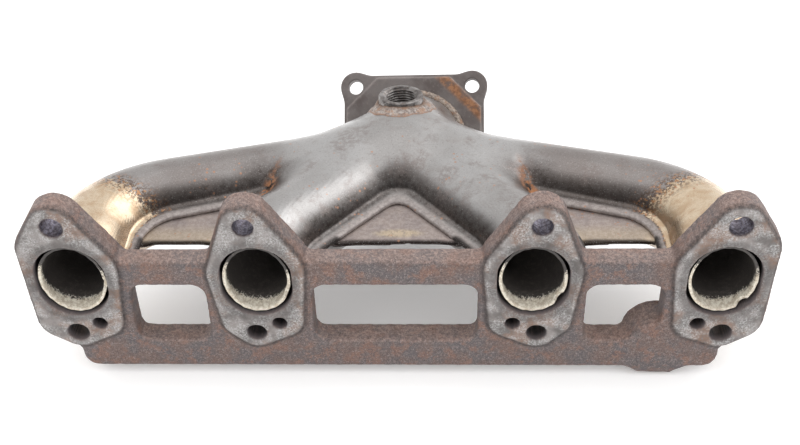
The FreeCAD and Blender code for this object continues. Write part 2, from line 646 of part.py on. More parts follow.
stub_points = neck_points[:2] + [outlet_place.Base - outlet_axis * SIZE["inner_neck_setback"]]
inner_neck = rounded_route(stub_points, [SIZE["neck_bend_radius"]])
inner_solid = fuse("inner_solid", sockets + [
    collector("inner_egg", "{shell_wall} + {collector_gap}"),
    sweep("inner_neck", inner_neck, "{neck_liner_radius}"),
])
sensor_hole = cylinder("sensor_hole", "{sensor_hole_radius}", "{collector_half_height}",
                       0, SIZE["bung_y"], 0)
inner_hollow = fuse("inner_hollow", socket_bores + [
    collector("inner_egg_bore", "{shell_wall} + {collector_gap} + {liner_wall}"),
    sweep("inner_neck_bore", inner_neck, "{neck_liner_radius} - {liner_wall}"),
])
inner_shell = cut("inner_shell", inner_solid, inner_hollow)
inner_zone = doc.addObject("Part::Feature", "inner_zone")
zone_corner = Vector(-BEYOND, -BEYOND, SIZE["run_end_z"] - BEYOND)
inner_zone.Shape = Part.makeBox(2 * BEYOND, 2 * BEYOND, BEYOND, zone_corner)
node(cut("collector_upper_cut", cut("collector_upper_half", inner_shell, inner_zone), sensor_hole),
     "collector_liner_upper")
node(common("collector_lower_half", inner_shell, inner_zone), "collector_liner_lower")


# ---- outlet ---------------------------------------------------------------------------------------

def outlet_bar(name, start, length, radius):
    """Round bar along the outlet axis; start is measured from the plate's neck side."""
    bar = bind(doc.addObject("Part::Cylinder", name), Radius=radius, Height=length)
    bar.Placement = Placement(outlet_place.Base + outlet_axis * start, outlet_turn)
    return bar


def outlet_body(name, edges, length, reversed_pad=False):
    body = padded_body(name, "XY_Plane", edges, length)
    body.Tip.Reversed = reversed_pad
    body.Placement = outlet_place
    doc.recompute()
    return body


half = SIZE["outlet_half_side"]
stud = SIZE["outlet_stud"]
plate_edges = rounded_box_edges(-half, -half, half, half, [SIZE["outlet_corner_radius"]] * 4)
face_half = SIZE["outlet_face_half"]
cut_at = SIZE["outlet_face_corner"] * math.sqrt(2) - face_half
octagon = [Vector(x, y, 0) for x, y in (
    (face_half, cut_at), (cut_at, face_half), (-cut_at, face_half), (-face_half, cut_at),
    (-face_half, -cut_at), (-cut_at, -face_half), (cut_at, -face_half), (face_half, -cut_at))]
face_edges = [Part.LineSegment(a, b) for a, b in zip(octagon, octagon[1:] + octagon[:1])]
plate_parts = [outlet_body("outlet_square", plate_edges, "{outlet_plate}"),
               outlet_body("outlet_raised_face", face_edges, "{outlet_rise}", True)]
plate_holes = [outlet_bar("outlet_bore", -SIZE["outlet_rise"] - SIZE["overcut"],
                          "{outlet_plate} + {outlet_rise} + 2 * {overcut}",
                          "{neck_liner_radius} + {liner_wall} + {outlet_bore_gap}")]
for i, (sx, sy) in enumerate([(1, 1), (-1, 1), (-1, -1), (1, -1)], start=1):
    centre = outlet_turn.multVec(Vector(sx * stud, sy * stud, 0))
    ear = outlet_bar(f"outlet_ear_{i}", 0, "{outlet_plate}", "{outlet_ear_radius}")
    hole = outlet_bar(f"outlet_stud_{i}", -SIZE["overcut"], "{outlet_plate} + 2 * {overcut}",
                      "{outlet_stud_radius}")
    for bar in (ear, hole):
        bar.Placement.Base = bar.Placement.Base + centre
    plate_parts.append(ear)
    plate_holes.append(hole)
node(cut("outlet_plate_cut", fuse("outlet_solid", plate_parts), fuse("outlet_holes", plate_holes)),
     "outlet_flange")

liner_start = SIZE["outlet_plate"] - SIZE["outlet_liner_length"]
node(cut("outlet_liner_cut",
         outlet_bar("outlet_liner_outside", liner_start, "{outlet_liner_length}",
                    "{neck_liner_radius} + {liner_wall} + {outlet_liner_play}"),
         outlet_bar("outlet_liner_inside", liner_start, "{outlet_liner_length}",
                    "{neck_liner_radius} + {slip_gap}")),
     "outlet_liner")


# ---- welds and the sensor bung --------------------------------------------------------------------

def ring_body(name, corners):
    """Body turned about its own Z axis from a closed profile of (radius, height) corners."""
    body = doc.addObject("PartDesign::Body", name)
    sketch = sketch_on(body, "XZ_Plane", name + "_profile")
    points = [Vector(radius, height, 0) for radius, height in corners]
    outline(sketch, [Part.LineSegment(a, b) for a, b in zip(points, points[1:] + points[:1])])
    turned = body.newObject("PartDesign::Revolution", name + "_turned")
    turned.Profile = sketch
    turned.ReferenceAxis = (sketch, ["V_Axis"])
    turned.Angle = 360
    doc.recompute()
    return body


def fillet_bead(name, tube):
    """Fillet weld round the foot of a tube of that radius, standing on the XY plane."""
    leg = SIZE["weld_leg"]
    throat = leg * WELD_THROAT
    return ring_body(name, [(tube, 0), (tube + leg, 0), (tube + throat, throat), (tube, leg)])


def seam_point(runner, reach):
    """Point at the seam height on the rear wall of a runner's straight run."""
    axis = runner.past_bend(reach)
    out = math.sqrt(SIZE["runner_radius"] ** 2 - axis.z ** 2)
    plan = Vector(runner.heading.x, runner.heading.y, 0).normalize()
    return Vector(axis.x - runner.inward * plan.y * out, axis.y + abs(plan.x) * out, 0)


for r in RUNNERS:
    bead = fillet_bead("port_bead_" + r.tag, SIZE["runner_radius"])
    bead.Placement = Placement(r.start, Rotation(Vector(1, 0, 0), -90))
    node(bead, "port_weld_" + r.tag)
bead = fillet_bead("outlet_bead", SIZE["neck_radius"])
bead.Placement = Placement(neck_foot, outlet_turn * Rotation(Vector(1, 0, 0), 180))
node(bead, "outlet_weld")

thread, rim = SIZE["bung_thread_radius"], SIZE["bung_radius"]
low, high = -SIZE["bung_depth"], SIZE["bung_height"]
chamfer, mouth_chamfer = SIZE["bung_chamfer"], SIZE["bung_mouth_chamfer"]
bung = ring_body("bung_turned", [
    (thread, low), (rim, low), (rim, high - chamfer), (rim - chamfer, high),
    (thread + mouth_chamfer, high), (thread, high - mouth_chamfer)])
bung.Placement = Placement(bung_seat, bung_turn)
node(bung, "sensor_bung")

mound = bind(doc.addObject("Part::Cone", "weld_mound"), Radius1="{bung_weld_foot_radius}",
             Radius2="{bung_weld_top_radius}", Height="{bung_weld_height}")
mound.Placement = Placement(bung_seat - Vector(0, 0, SIZE["bung_weld_depth"]), Rotation())
core = cylinder("weld_core", "{bung_radius}", "4 * {bung_radius}", 0, 0, 0)
core_foot = bung_seat - bung_turn.multVec(Vector(0, 0, 2 * SIZE["bung_radius"]))
core.Placement = Placement(core_foot, bung_turn)
node(cut("bung_weld_cut", cut("bung_weld_ring", mound, core), outside), "bung_weld")

for side, r in (("left", RUNNERS[0]), ("right", RUNNERS[3])):
    seam_wire = Part.Wire([Part.LineSegment(seam_point(r, SIZE["seam_weld_start"]),
                                            seam_point(r, SIZE["seam_weld_end"])).toShape()])
    seam = sweep("rear_seam_" + side, seam_wire, "{seam_bead_radius}")
    node(cut("rear_seam_cut_" + side, seam, outside), "seam_weld_" + side)

doc.recompute()

# ---- check and write ------------------------------------------------------------------------------

for obj in doc.Objects:
    if "Invalid" in obj.State or "Error" in obj.State:
        raise SystemExit(f"{obj.Name} failed: {obj.State}")
os.makedirs("parts", exist_ok=True)
for obj in NODES:
    shape = obj.Shape
    if shape.isNull() or not shape.isValid() or shape.Volume <= 0:
        raise SystemExit(f"{obj.Label} has no valid shape")
    box = shape.BoundBox
    print(f"{obj.Label}: {shape.Volume:.0f} mm3, {len(shape.Solids)} solid(s), "
          f"z {box.ZMin:.1f} to {box.ZMax:.1f}")
    shape.exportStep(f"parts/{obj.Label}.step")
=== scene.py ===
import math

import bmesh
import bpy
import numpy as np
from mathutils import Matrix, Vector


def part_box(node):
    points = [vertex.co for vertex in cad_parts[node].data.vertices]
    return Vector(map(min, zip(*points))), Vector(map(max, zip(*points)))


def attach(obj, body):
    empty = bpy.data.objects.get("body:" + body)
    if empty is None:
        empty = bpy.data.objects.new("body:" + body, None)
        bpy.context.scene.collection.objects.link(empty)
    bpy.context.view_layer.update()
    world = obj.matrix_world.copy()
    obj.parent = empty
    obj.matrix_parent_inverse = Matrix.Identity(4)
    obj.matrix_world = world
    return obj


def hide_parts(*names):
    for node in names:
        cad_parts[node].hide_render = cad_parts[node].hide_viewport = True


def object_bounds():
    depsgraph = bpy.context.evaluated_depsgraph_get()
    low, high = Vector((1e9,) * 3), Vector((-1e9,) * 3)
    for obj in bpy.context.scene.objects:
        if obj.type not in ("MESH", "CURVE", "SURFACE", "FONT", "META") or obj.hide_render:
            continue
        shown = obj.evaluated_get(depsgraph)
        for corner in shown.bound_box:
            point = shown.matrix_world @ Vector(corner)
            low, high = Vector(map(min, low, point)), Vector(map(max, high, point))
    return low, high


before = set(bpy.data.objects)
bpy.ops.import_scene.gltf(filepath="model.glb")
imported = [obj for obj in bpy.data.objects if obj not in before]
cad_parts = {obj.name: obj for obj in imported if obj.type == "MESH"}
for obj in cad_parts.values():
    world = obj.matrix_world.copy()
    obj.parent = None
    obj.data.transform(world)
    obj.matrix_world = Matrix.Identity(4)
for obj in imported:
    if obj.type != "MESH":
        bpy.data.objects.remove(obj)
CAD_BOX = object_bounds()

import openvdb
from mathutils import Matrix, Vector

# Exhaust manifold. The cast flange, the two shell halves, the outlet plate and the weld round the bung
# are built as signed distances over a grid in millimetres, then meshed, so that cast and pressed edges
# come out rounded and the runners flow into the collector. The bung, liners and weld beads are swept.
# +X along the ports, +Y away from the head, +Z up.

MM = 0.001

# ---- sizes, in millimetres ----

STUD_X = (67.8, 155.8)
STUD_Z = 32
STUD_RADII = (4.75, 5.25)
PORT_INSET, PORT_Z = 2.7, -0.3
PORT_HALF = (17, 20.5)
AIR_INSET, AIR_Z, AIR_RADIUS = 11.7, -26.1, 3.5
FLANGE = 13
RAIL_FRONT, RAIL_TOP = 1.5, 11
WINDOW_TOP, WINDOW_BOTTOM, WINDOW_CORNER = -3.5, -38.3, 7
SIDE_WINDOW = (90.5, 127)
MIDDLE_WINDOW = 39.6
GALLERY_LOW, GALLERY_BACK, GALLERY_HALF, GALLERY_BORE = -56.8, 15, 157, 5
BOSS = (127.7, -43.5)
BOSS_RADIUS, BOSS_BACK = 16, 20
FOOT_Z, FOOT_HALF, FOOT_CORNER = -60.4, 9.6, 2
SOCKET_RADIUS, SOCKET_DEPTH, PASSAGE_RADIUS = 7, 6, 3.5
TUBE, WALL, LIP, ROLL = 21.5, 1.5, 4.8, 3.2
OUTER_RUN, OUTER_BEND, OUTER_RADII = 22, (64.9, -5), (60, 48.5)
INNER_BEND, INNER_RADIUS = 30.3, 45
OUTER_MEETING, INNER_MEETING, NECK_START = (0, 116, -10), (0, 107.9, -10), (0, 100, -11)
MIDDLE, MIDDLE_HALF = (0, 108, -9), (44, 33, 25.5)
NECK, NECK_BEND = 28, 30
OUTLET = Vector((5.8, 151, -21.5))
OUTLET_TILT, OUTLET_YAW, OUTLET_ROLL = 40, 3, 2
PLATE, PLATE_RISE, PLATE_BORE = 8, 2.5, 23.5
PLATE_HALF, PLATE_CORNER, OCTAGON_HALF, OCTAGON_CORNER = 41.2, 14, 39.5, 43.1
EAR, EAR_RADIUS, EAR_HOLE = 34.3, 9, 4.25
BUNG = Vector((0, 129, 17))
BUNG_TILT, BUNG_RADIUS, BUNG_THREAD = 4, 12.2, 8.25
BUNG_LOW, BUNG_HIGH, THREAD_PITCH, THREAD_DEPTH = -5.0, 8.0, 1.5, 0.9
MOUND_SPREAD, MOUND_HEIGHT = 19.2, 4.4
PORT_BEAD, OUTLET_BEAD, SEAM_BEAD = 1.9, 2.6, 1.3
SHEET_START = 21
WEB_FRONT, WEB_STEP, WEB_DROOP = 30.6, 0.9, 1.6
LIP_TOP, LIP_LOW, WEB_SHEET = (-0.4, 1.4), (-1.6, 0.4), (-1.9, -0.1)
CROTCH = (71, 84)
# Centre and spread of the painted highlight on the middle web panel.
PANEL_GLINT = (0.7, 37.5)
TINT_END, TINT_SLANT = 64, 0.45
FINE, FINER, FINEST = 0.8, 0.6, 0.45


# ---- signed distances ----

def soft_min(a, b, k):
    """Union of two distances with a fillet about k wide."""
    h = np.maximum(k - np.abs(a - b), 0) / k
    return np.minimum(a, b) - h * h * (k / 4)


def soft_max(a, b, k):
    return -soft_min(-a, -b, k)


def step(low, high, value):
    """Smooth step from 0 at low to 1 at high."""
    t = np.clip((value - low) / (high - low), 0, 1)
    return t * t * (3 - 2 * t)


def rounded_box(u, v, u0, v0, u1, v1, r):
    """Rectangle with rounded corners, in two dimensions."""
    du = np.abs(u - (u0 + u1) / 2) - (u1 - u0) / 2 + r
    dv = np.abs(v - (v0 + v1) / 2) - (v1 - v0) / 2 + r
    outer = np.sqrt(np.maximum(du, 0) ** 2 + np.maximum(dv, 0) ** 2)
    return outer + np.minimum(np.maximum(du, dv), 0) - r


def between(value, low, high):
    """Distance outside a slab."""
    return np.maximum(low - value, value - high)


def disc(u, v, u0, v0, r):
    return np.sqrt((u - u0) ** 2 + (v - v0) ** 2) - r


def outline_distance(u, v, points):
    """Signed distance to a closed polygon in two dimensions."""
    points = np.asarray(points, np.float32)
    best = np.full(np.broadcast(u, v).shape, 1e9, np.float32)
    inside = np.zeros(best.shape, bool)
    for a, b in zip(points, np.roll(points, -1, axis=0)):
        e = b - a
        t = np.clip(((u - a[0]) * e[0] + (v - a[1]) * e[1]) / (e @ e), 0, 1)
        best = np.minimum(best, (u - a[0] - t * e[0]) ** 2 + (v - a[1] - t * e[1]) ** 2)
        crosses = (a[1] > v) != (b[1] > v)
        slope = e[0] / e[1] if e[1] else 0
        inside ^= crosses & (u < a[0] + (v - a[1]) * slope)
    return np.where(inside, -1, 1) * np.sqrt(best)


def hull(circles):
    """Points round the convex outline of circles (x, y, r)."""
    turns = np.linspace(0, 2 * math.pi, 360, endpoint=False)
    normals = np.stack([np.cos(turns), np.sin(turns)], 1)
    reach = np.stack([normals @ np.array(c[:2]) + c[2] for c in circles], 1)
    leader = reach.argmax(1)
    centres = np.array([c[:2] for c in circles])[leader]
    radii = np.array([c[2] for c in circles])[leader]
    points = centres + normals * radii[:, None]
    keep = [i for i in range(len(points)) if np.linalg.norm(points[i] - points[i - 1]) > 0.05]
    return points[keep]


class Line:
    def __init__(self, a, b):
        self.a, self.run = Vector(a), Vector(b) - Vector(a)

    def distance(self, x, y, z):
        a, r = self.a, self.run
        px, py, pz = x - a.x, y - a.y, z - a.z
        t = np.clip((px * r.x + py * r.y + pz * r.z) / r.length_squared, 0, 1)
        return np.sqrt((px - t * r.x) ** 2 + (py - t * r.y) ** 2 + (pz - t * r.z) ** 2)

    def samples(self, spacing):
        count = max(1, round(self.run.length / spacing))
        return [self.a + self.run * (i / count) for i in range(count)]


class Arc:
    def __init__(self, centre, start, heading, angle):
        self.centre, self.angle = centre, angle
        self.radius = (start - centre).length
        self.u = (start - centre).normalized()
        self.v = heading.normalized()
        self.n = self.u.cross(self.v)

    def distance(self, x, y, z):
        c = self.centre
        px, py, pz = x - c.x, y - c.y, z - c.z
        a = px * self.u.x + py * self.u.y + pz * self.u.z
        b = px * self.v.x + py * self.v.y + pz * self.v.z
        h = px * self.n.x + py * self.n.y + pz * self.n.z
        middle = self.angle / 2
        turned = np.arctan2(b * math.cos(middle) - a * math.sin(middle),
                            a * math.cos(middle) + b * math.sin(middle))
        phi = np.clip(turned, -middle, middle) + middle
        da = a - self.radius * np.cos(phi)
        db = b - self.radius * np.sin(phi)
        return np.sqrt(da * da + db * db + h * h)

    def samples(self, spacing):
        count = max(2, round(self.radius * self.angle / spacing))
        turns = [self.angle * i / count for i in range(count)]
        return [self.centre + (self.u * math.cos(a) + self.v * math.sin(a)) * self.radius for a in turns]


class Route:
    """Axis of straight runs joined by tangent arcs."""

    def __init__(self, points, radii):
        self.points = [Vector(p) for p in points]
        self.pieces = []
        last = self.points[0]
        for before, corner, after, radius in zip(self.points, self.points[1:], self.points[2:], radii):
            back, ahead = (before - corner).normalized(), (after - corner).normalized()
            half = back.angle(ahead) / 2
            start = corner + back * (radius / math.tan(half))
            centre = corner + (back + ahead).normalized() * (radius / math.sin(half))
            self.pieces += [Line(last, start), Arc(centre, start, -back, math.pi - 2 * half)]
            last = corner + ahead * (radius / math.tan(half))
        self.pieces.append(Line(last, self.points[-1]))

    def samples(self, spacing):
        """Points along the route, about that far apart."""
        points = [p for piece in self.pieces for p in piece.samples(spacing)]
        return points + [self.points[-1]]

    def distance(self, x, y, z):
        best = self.pieces[0].distance(x, y, z)
        for piece in self.pieces[1:]:
            best = np.minimum(best, piece.distance(x, y, z))
        return best

    def flat(self):
        """The same axis seen in plan."""
        copy = Route.__new__(Route)
        copy.points = [Vector((p.x, p.y, 0)) for p in self.points]
        copy.pieces = []
        for piece in self.pieces:
            if isinstance(piece, Line):
                a, b = piece.a.copy(), piece.a + piece.run
                a.z = b.z = 0
                copy.pieces.append(Line(a, b))
            elif abs(piece.n.z) > 0.5:
                centre, start = piece.centre.copy(), piece.centre + piece.u * piece.radius
                centre.z = start.z = 0
                copy.pieces.append(Arc(centre, start, Vector((piece.v.x, piece.v.y, 0)), piece.angle))
        return copy


class Grid:
    """Regular grid of points over which solids are described, with an optional placement."""

    def __init__(self, low, high, pitch, placement=None):
        self.low, self.pitch = np.array(low, float), pitch
        self.placement = placement
        axes = [np.arange(a, b + pitch, pitch, dtype=np.float32) for a, b in zip(low, high)]
        self.shape = tuple(len(a) for a in axes)
        self.x, self.y, self.z = np.meshgrid(*axes, indexing="ij", sparse=True)

    def read(self, field, points):
        """Field values at points, blended between grid points."""
        where = (points - self.low) / self.pitch
        base = np.clip(np.floor(where).astype(int), 0, np.array(self.shape) - 2)
        share = np.clip(where - base, 0, 1)
        total = np.zeros(len(points))
        for corner in np.ndindex(2, 2, 2):
            weight = np.prod(np.where(corner, share, 1 - share), axis=1)
            i, j, k = (base + corner).T
            total += weight * field[i, j, k]
        return total

    def mesh(self, name, field, masks):
        """Object of the zero surface of a distance field. Each mask is kept as a vertex attribute."""
        field = np.ascontiguousarray(np.broadcast_to(field, self.shape), dtype=np.float32)
        band = 3 * self.pitch
        volume = openvdb.FloatGrid(background=band)
        volume.copyFromArray(np.clip(field, -band, band))
        points, triangles, quads = volume.convertToPolygons(0.0, 0.0)
        points = self.low + np.asarray(points, float) * self.pitch
        slopes = []
        for axis in range(3):
            shift = np.zeros(3)
            shift[axis] = self.pitch * 0.6
            slopes.append(self.read(field, points + shift) - self.read(field, points - shift))
        normals = np.stack(slopes, 1)
        normals /= np.maximum(np.linalg.norm(normals, axis=1), 1e-9)[:, None]
        faces = [tuple(int(i) for i in f) for f in triangles] + [tuple(int(i) for i in f) for f in quads]
        probe = np.array(faces[0][:3])
        a, b, c = points[probe]
        if np.cross(b - a, c - a) @ normals[probe[0]] < 0:
            faces = [f[::-1] for f in faces]
        values = {key: self.read(np.broadcast_to(mask, self.shape), points)
                  for key, mask in masks.items()}
        if self.placement is not None:
            turn = np.array(self.placement.to_3x3())
            points = points @ turn.T + np.array(self.placement.translation)
            normals = normals @ turn.T
        data = bpy.data.meshes.new(name)
        data.from_pydata((points * MM).tolist(), [], faces)
        data.polygons.foreach_set("use_smooth", [True] * len(data.polygons))
        for key, value in values.items():
            layer = data.attributes.new(key, "FLOAT", "POINT")
            layer.data.foreach_set("value", value.astype(np.float32))
        data.normals_split_custom_set_from_vertices(normals.tolist())
        obj = bpy.data.objects.new(name, data)
        bpy.context.scene.collection.objects.link(obj)
        return obj


def finished(obj, slot, material, *nodes):
    """Gives a piece its place in the frame and its material."""
    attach(obj, "root")
    if nodes:
        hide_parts(*nodes)
    obj.data.materials.clear()
    obj.data.materials.append(material)


def swept(name, rings, closed, placement=Matrix(), crease=180, mask=None):
    """Object of quads between rings of points, each ring closed; edges sharper than crease stay sharp.
    mask is the name of a vertex attribute and one list of values for each ring."""
    bm = bmesh.new()
    layer = bm.verts.layers.float.new(mask[0]) if mask else None
    levels = []
    for i, ring in enumerate(rings):
        levels.append([bm.verts.new(p) for p in ring])
        for vert, value in zip(levels[-1], mask[1][i] if mask else ()):
            vert[layer] = value
    for i in range(len(levels) if closed else len(levels) - 1):
        a, b = levels[i], levels[(i + 1) % len(levels)]
        for j in range(len(a)):
            k = (j + 1) % len(a)
            bm.faces.new((a[j], a[k], b[k], b[j]))
    if not closed:
        bm.faces.new(levels[0])
        bm.faces.new(levels[-1][::-1])
    bmesh.ops.recalc_face_normals(bm, faces=bm.faces)
    bmesh.ops.transform(bm, matrix=Matrix.Scale(MM, 4) @ placement, verts=bm.verts)
    data = bpy.data.meshes.new(name)
    bm.to_mesh(data)
    bm.free()
    data.polygons.foreach_set("use_smooth", [True] * len(data.polygons))
    if crease < 180:
        data.set_sharp_from_angle(angle=math.radians(crease))
    obj = bpy.data.objects.new(name, data)
    bpy.context.scene.collection.objects.link(obj)
    return obj


# ---- materials ----

class Material:
    """Short way to build a node material in object coordinates, in millimetres."""

    def __init__(self, name):
        self.data = bpy.data.materials.new(name)
        self.data.use_nodes = True
        self.tree = self.data.node_tree
        self.shader = self.tree.nodes["Principled BSDF"]
        coords = self.add("ShaderNodeTexCoord").outputs["Object"]
        scale = self.add("ShaderNodeVectorMath", operation="SCALE")
        self.link(coords, scale.inputs[0])
        scale.inputs["Scale"].default_value = 1 / MM
        self.place = scale.outputs[0]

    def add(self, kind, **settings):
        node = self.tree.nodes.new(kind)
        for key, value in settings.items():
            setattr(node, key, value)
        return node

    def link(self, source, target):
        if isinstance(source, (int, float, tuple)):
            target.default_value = source
        else:
            self.tree.links.new(source, target)

    def noise(self, size, detail=3, rough=0.55, warp=0.0):
        """Noise from 0 to 1 with features about that many millimetres across."""
        node = self.add("ShaderNodeTexNoise")
        node.inputs["Scale"].default_value = 1 / size
        node.inputs["Detail"].default_value = detail
        node.inputs["Roughness"].default_value = rough
        node.inputs["Distortion"].default_value = warp
        self.link(self.place, node.inputs["Vector"])
        return node.outputs["Fac"]

    def spots(self, size):
        """Distance to the nearest of scattered points, in cells."""
        node = self.add("ShaderNodeTexVoronoi")
        node.inputs["Scale"].default_value = 1 / size
        self.link(self.place, node.inputs["Vector"])
        return node.outputs["Distance"]

    def attribute(self, name):
        return self.add("ShaderNodeAttribute", attribute_name=name).outputs["Fac"]

    def axis(self, letter):
        node = self.add("ShaderNodeSeparateXYZ")
        self.link(self.place, node.inputs[0])
        return node.outputs[letter]

    def normal(self, letter):
        node = self.add("ShaderNodeSeparateXYZ")
        self.link(self.add("ShaderNodeNewGeometry").outputs["Normal"], node.inputs[0])
        return node.outputs[letter]

    def math(self, operation, a, b=0.0, clamp=False):
        node = self.add("ShaderNodeMath", operation=operation, use_clamp=clamp)
        self.link(a, node.inputs[0])
        self.link(b, node.inputs[1])
        return node.outputs[0]

    def ramp(self, value, low, high, start=0.0, end=1.0):
        """Smooth change from start to end while value goes from low to high."""
        node = self.add("ShaderNodeMapRange", interpolation_type="SMOOTHSTEP")
        for key, setting in zip(("Value", "From Min", "From Max", "To Min", "To Max"),
                                (value, low, high, start, end)):
            self.link(setting, node.inputs[key])
        return node.outputs[0]

    def mix(self, share, a, b):
        node = self.add("ShaderNodeMix", data_type="RGBA")
        for value, socket in ((share, node.inputs[0]), (a, node.inputs[6]), (b, node.inputs[7])):
            if isinstance(value, tuple):
                value = (*value, 1)
            self.link(value, socket)
        return node.outputs[2]

    def bump(self, height, strength, distance=0.3):
        node = self.add("ShaderNodeBump")
        node.inputs["Strength"].default_value = strength
        node.inputs["Distance"].default_value = distance * MM
        self.link(height, node.inputs["Height"])
        previous = self.shader.inputs["Normal"].links
        if previous:
            self.link(previous[0].from_socket, node.inputs["Normal"])
        self.link(node.outputs[0], self.shader.inputs["Normal"])

    def finish(self, colour, rough, metal):
        for value, key in ((colour, "Base Color"), (rough, "Roughness"), (metal, "Metallic")):
            self.link(value, self.shader.inputs[key])
        return self.data


def casting_material():
    """Rusted grey iron: speckled brown skin, mottled grey machined faces."""
    m = Material("cast_iron_rusted")
    machined, inner, edge = m.attribute("machined"), m.attribute("bore"), m.attribute("pad_edge_shadow")
    up = m.ramp(m.normal("Z"), 0.2, 0.9)
    fine, grain, broad = m.noise(0.6, 3, 0.7), m.noise(1.5, 4, 0.7), m.noise(15, 3, 0.6)
    skin = m.mix(m.ramp(broad, 0.38, 0.62), (0.100, 0.086, 0.088), (0.130, 0.086, 0.074))
    skin = m.mix(m.ramp(grain, 0.48, 0.66, 0, 0.75), skin, (0.20, 0.162, 0.152))
    rust = m.math("MULTIPLY", m.ramp(m.noise(8, 4, 0.7), 0.50, 0.62), m.ramp(grain, 0.36, 0.56, 0.15, 0.95))
    skin = m.mix(m.math("MULTIPLY", rust, 0.7), skin, (0.215, 0.108, 0.074))
    skin = m.mix(m.math("MULTIPLY", up, m.ramp(grain, 0.36, 0.66, 0.15, 0.75)), skin, (0.35, 0.25, 0.215))
    skin = m.mix(m.ramp(fine, 0.55, 0.68, 0, 0.6), skin, (0.37, 0.315, 0.30))
    skin = m.mix(m.ramp(fine, 0.46, 0.34, 0, 0.75), skin, (0.040, 0.030, 0.028))
    face = m.mix(m.ramp(m.noise(11, 3, 0.6), 0.38, 0.62), (0.150, 0.136, 0.130), (0.27, 0.245, 0.235))
    stain = m.math("MULTIPLY", m.ramp(m.noise(17, 3, 0.6), 0.48, 0.60), m.ramp(grain, 0.34, 0.6, 0.35, 1))
    face = m.mix(m.math("MULTIPLY", stain, 0.75), face, (0.245, 0.145, 0.10))
    frost = m.ramp(m.noise(1.0, 5, 0.8), 0.40, 0.66)
    frost = m.math("MULTIPLY", frost, m.ramp(m.noise(9, 4, 0.6), 0.38, 0.56))
    face = m.mix(m.math("MULTIPLY", frost, 0.85), face, (0.54, 0.535, 0.53))
    face = m.mix(m.ramp(fine, 0.42, 0.30, 0, 0.55), face, (0.06, 0.052, 0.05))
    face = m.mix(m.math("MULTIPLY", m.attribute("port_ring"), 0.5), face, (0.085, 0.076, 0.073))
    colour = m.mix(machined, skin, face)
    # Painted shadow: a near black line round each machined pad, at its step down to the cast body.
    edge = m.math("MULTIPLY", edge, m.ramp(grain, 0.3, 0.6, 1.0, 0.55))
    colour = m.mix(edge, colour, (0.030, 0.024, 0.023))
    # Painted shade: the walls of the holes are painted darker further into the flange.
    wall = m.mix(m.ramp(m.axis("Y"), 1, 6), (0.12, 0.105, 0.11), (0.02, 0.018, 0.02))
    # Painted reflection: the upper stud holes are painted bluish grey, besides being made glossy and metallic
    # further down.
    upper = m.math("MULTIPLY", inner, m.ramp(m.axis("Z"), 24, 26))
    glossy_glint = m.mix(m.ramp(grain, 0.4, 0.6), (0.10, 0.09, 0.12), (0.30, 0.29, 0.36))
    wall = m.mix(upper, wall, glossy_glint)
    colour = m.mix(inner, colour, wall)
    m.bump(fine, 0.35, 0.25)
    m.bump(grain, 0.45, 0.5)
    rough = m.math("SUBTRACT", m.ramp(fine, 0.3, 0.7, 0.55, 0.82), m.math("MULTIPLY", upper, 0.25))
    metal = m.math("ADD", m.math("MULTIPLY", machined, 0.3), m.math("MULTIPLY", upper, 0.95), clamp=True)
    return m.finish(colour, rough, metal)


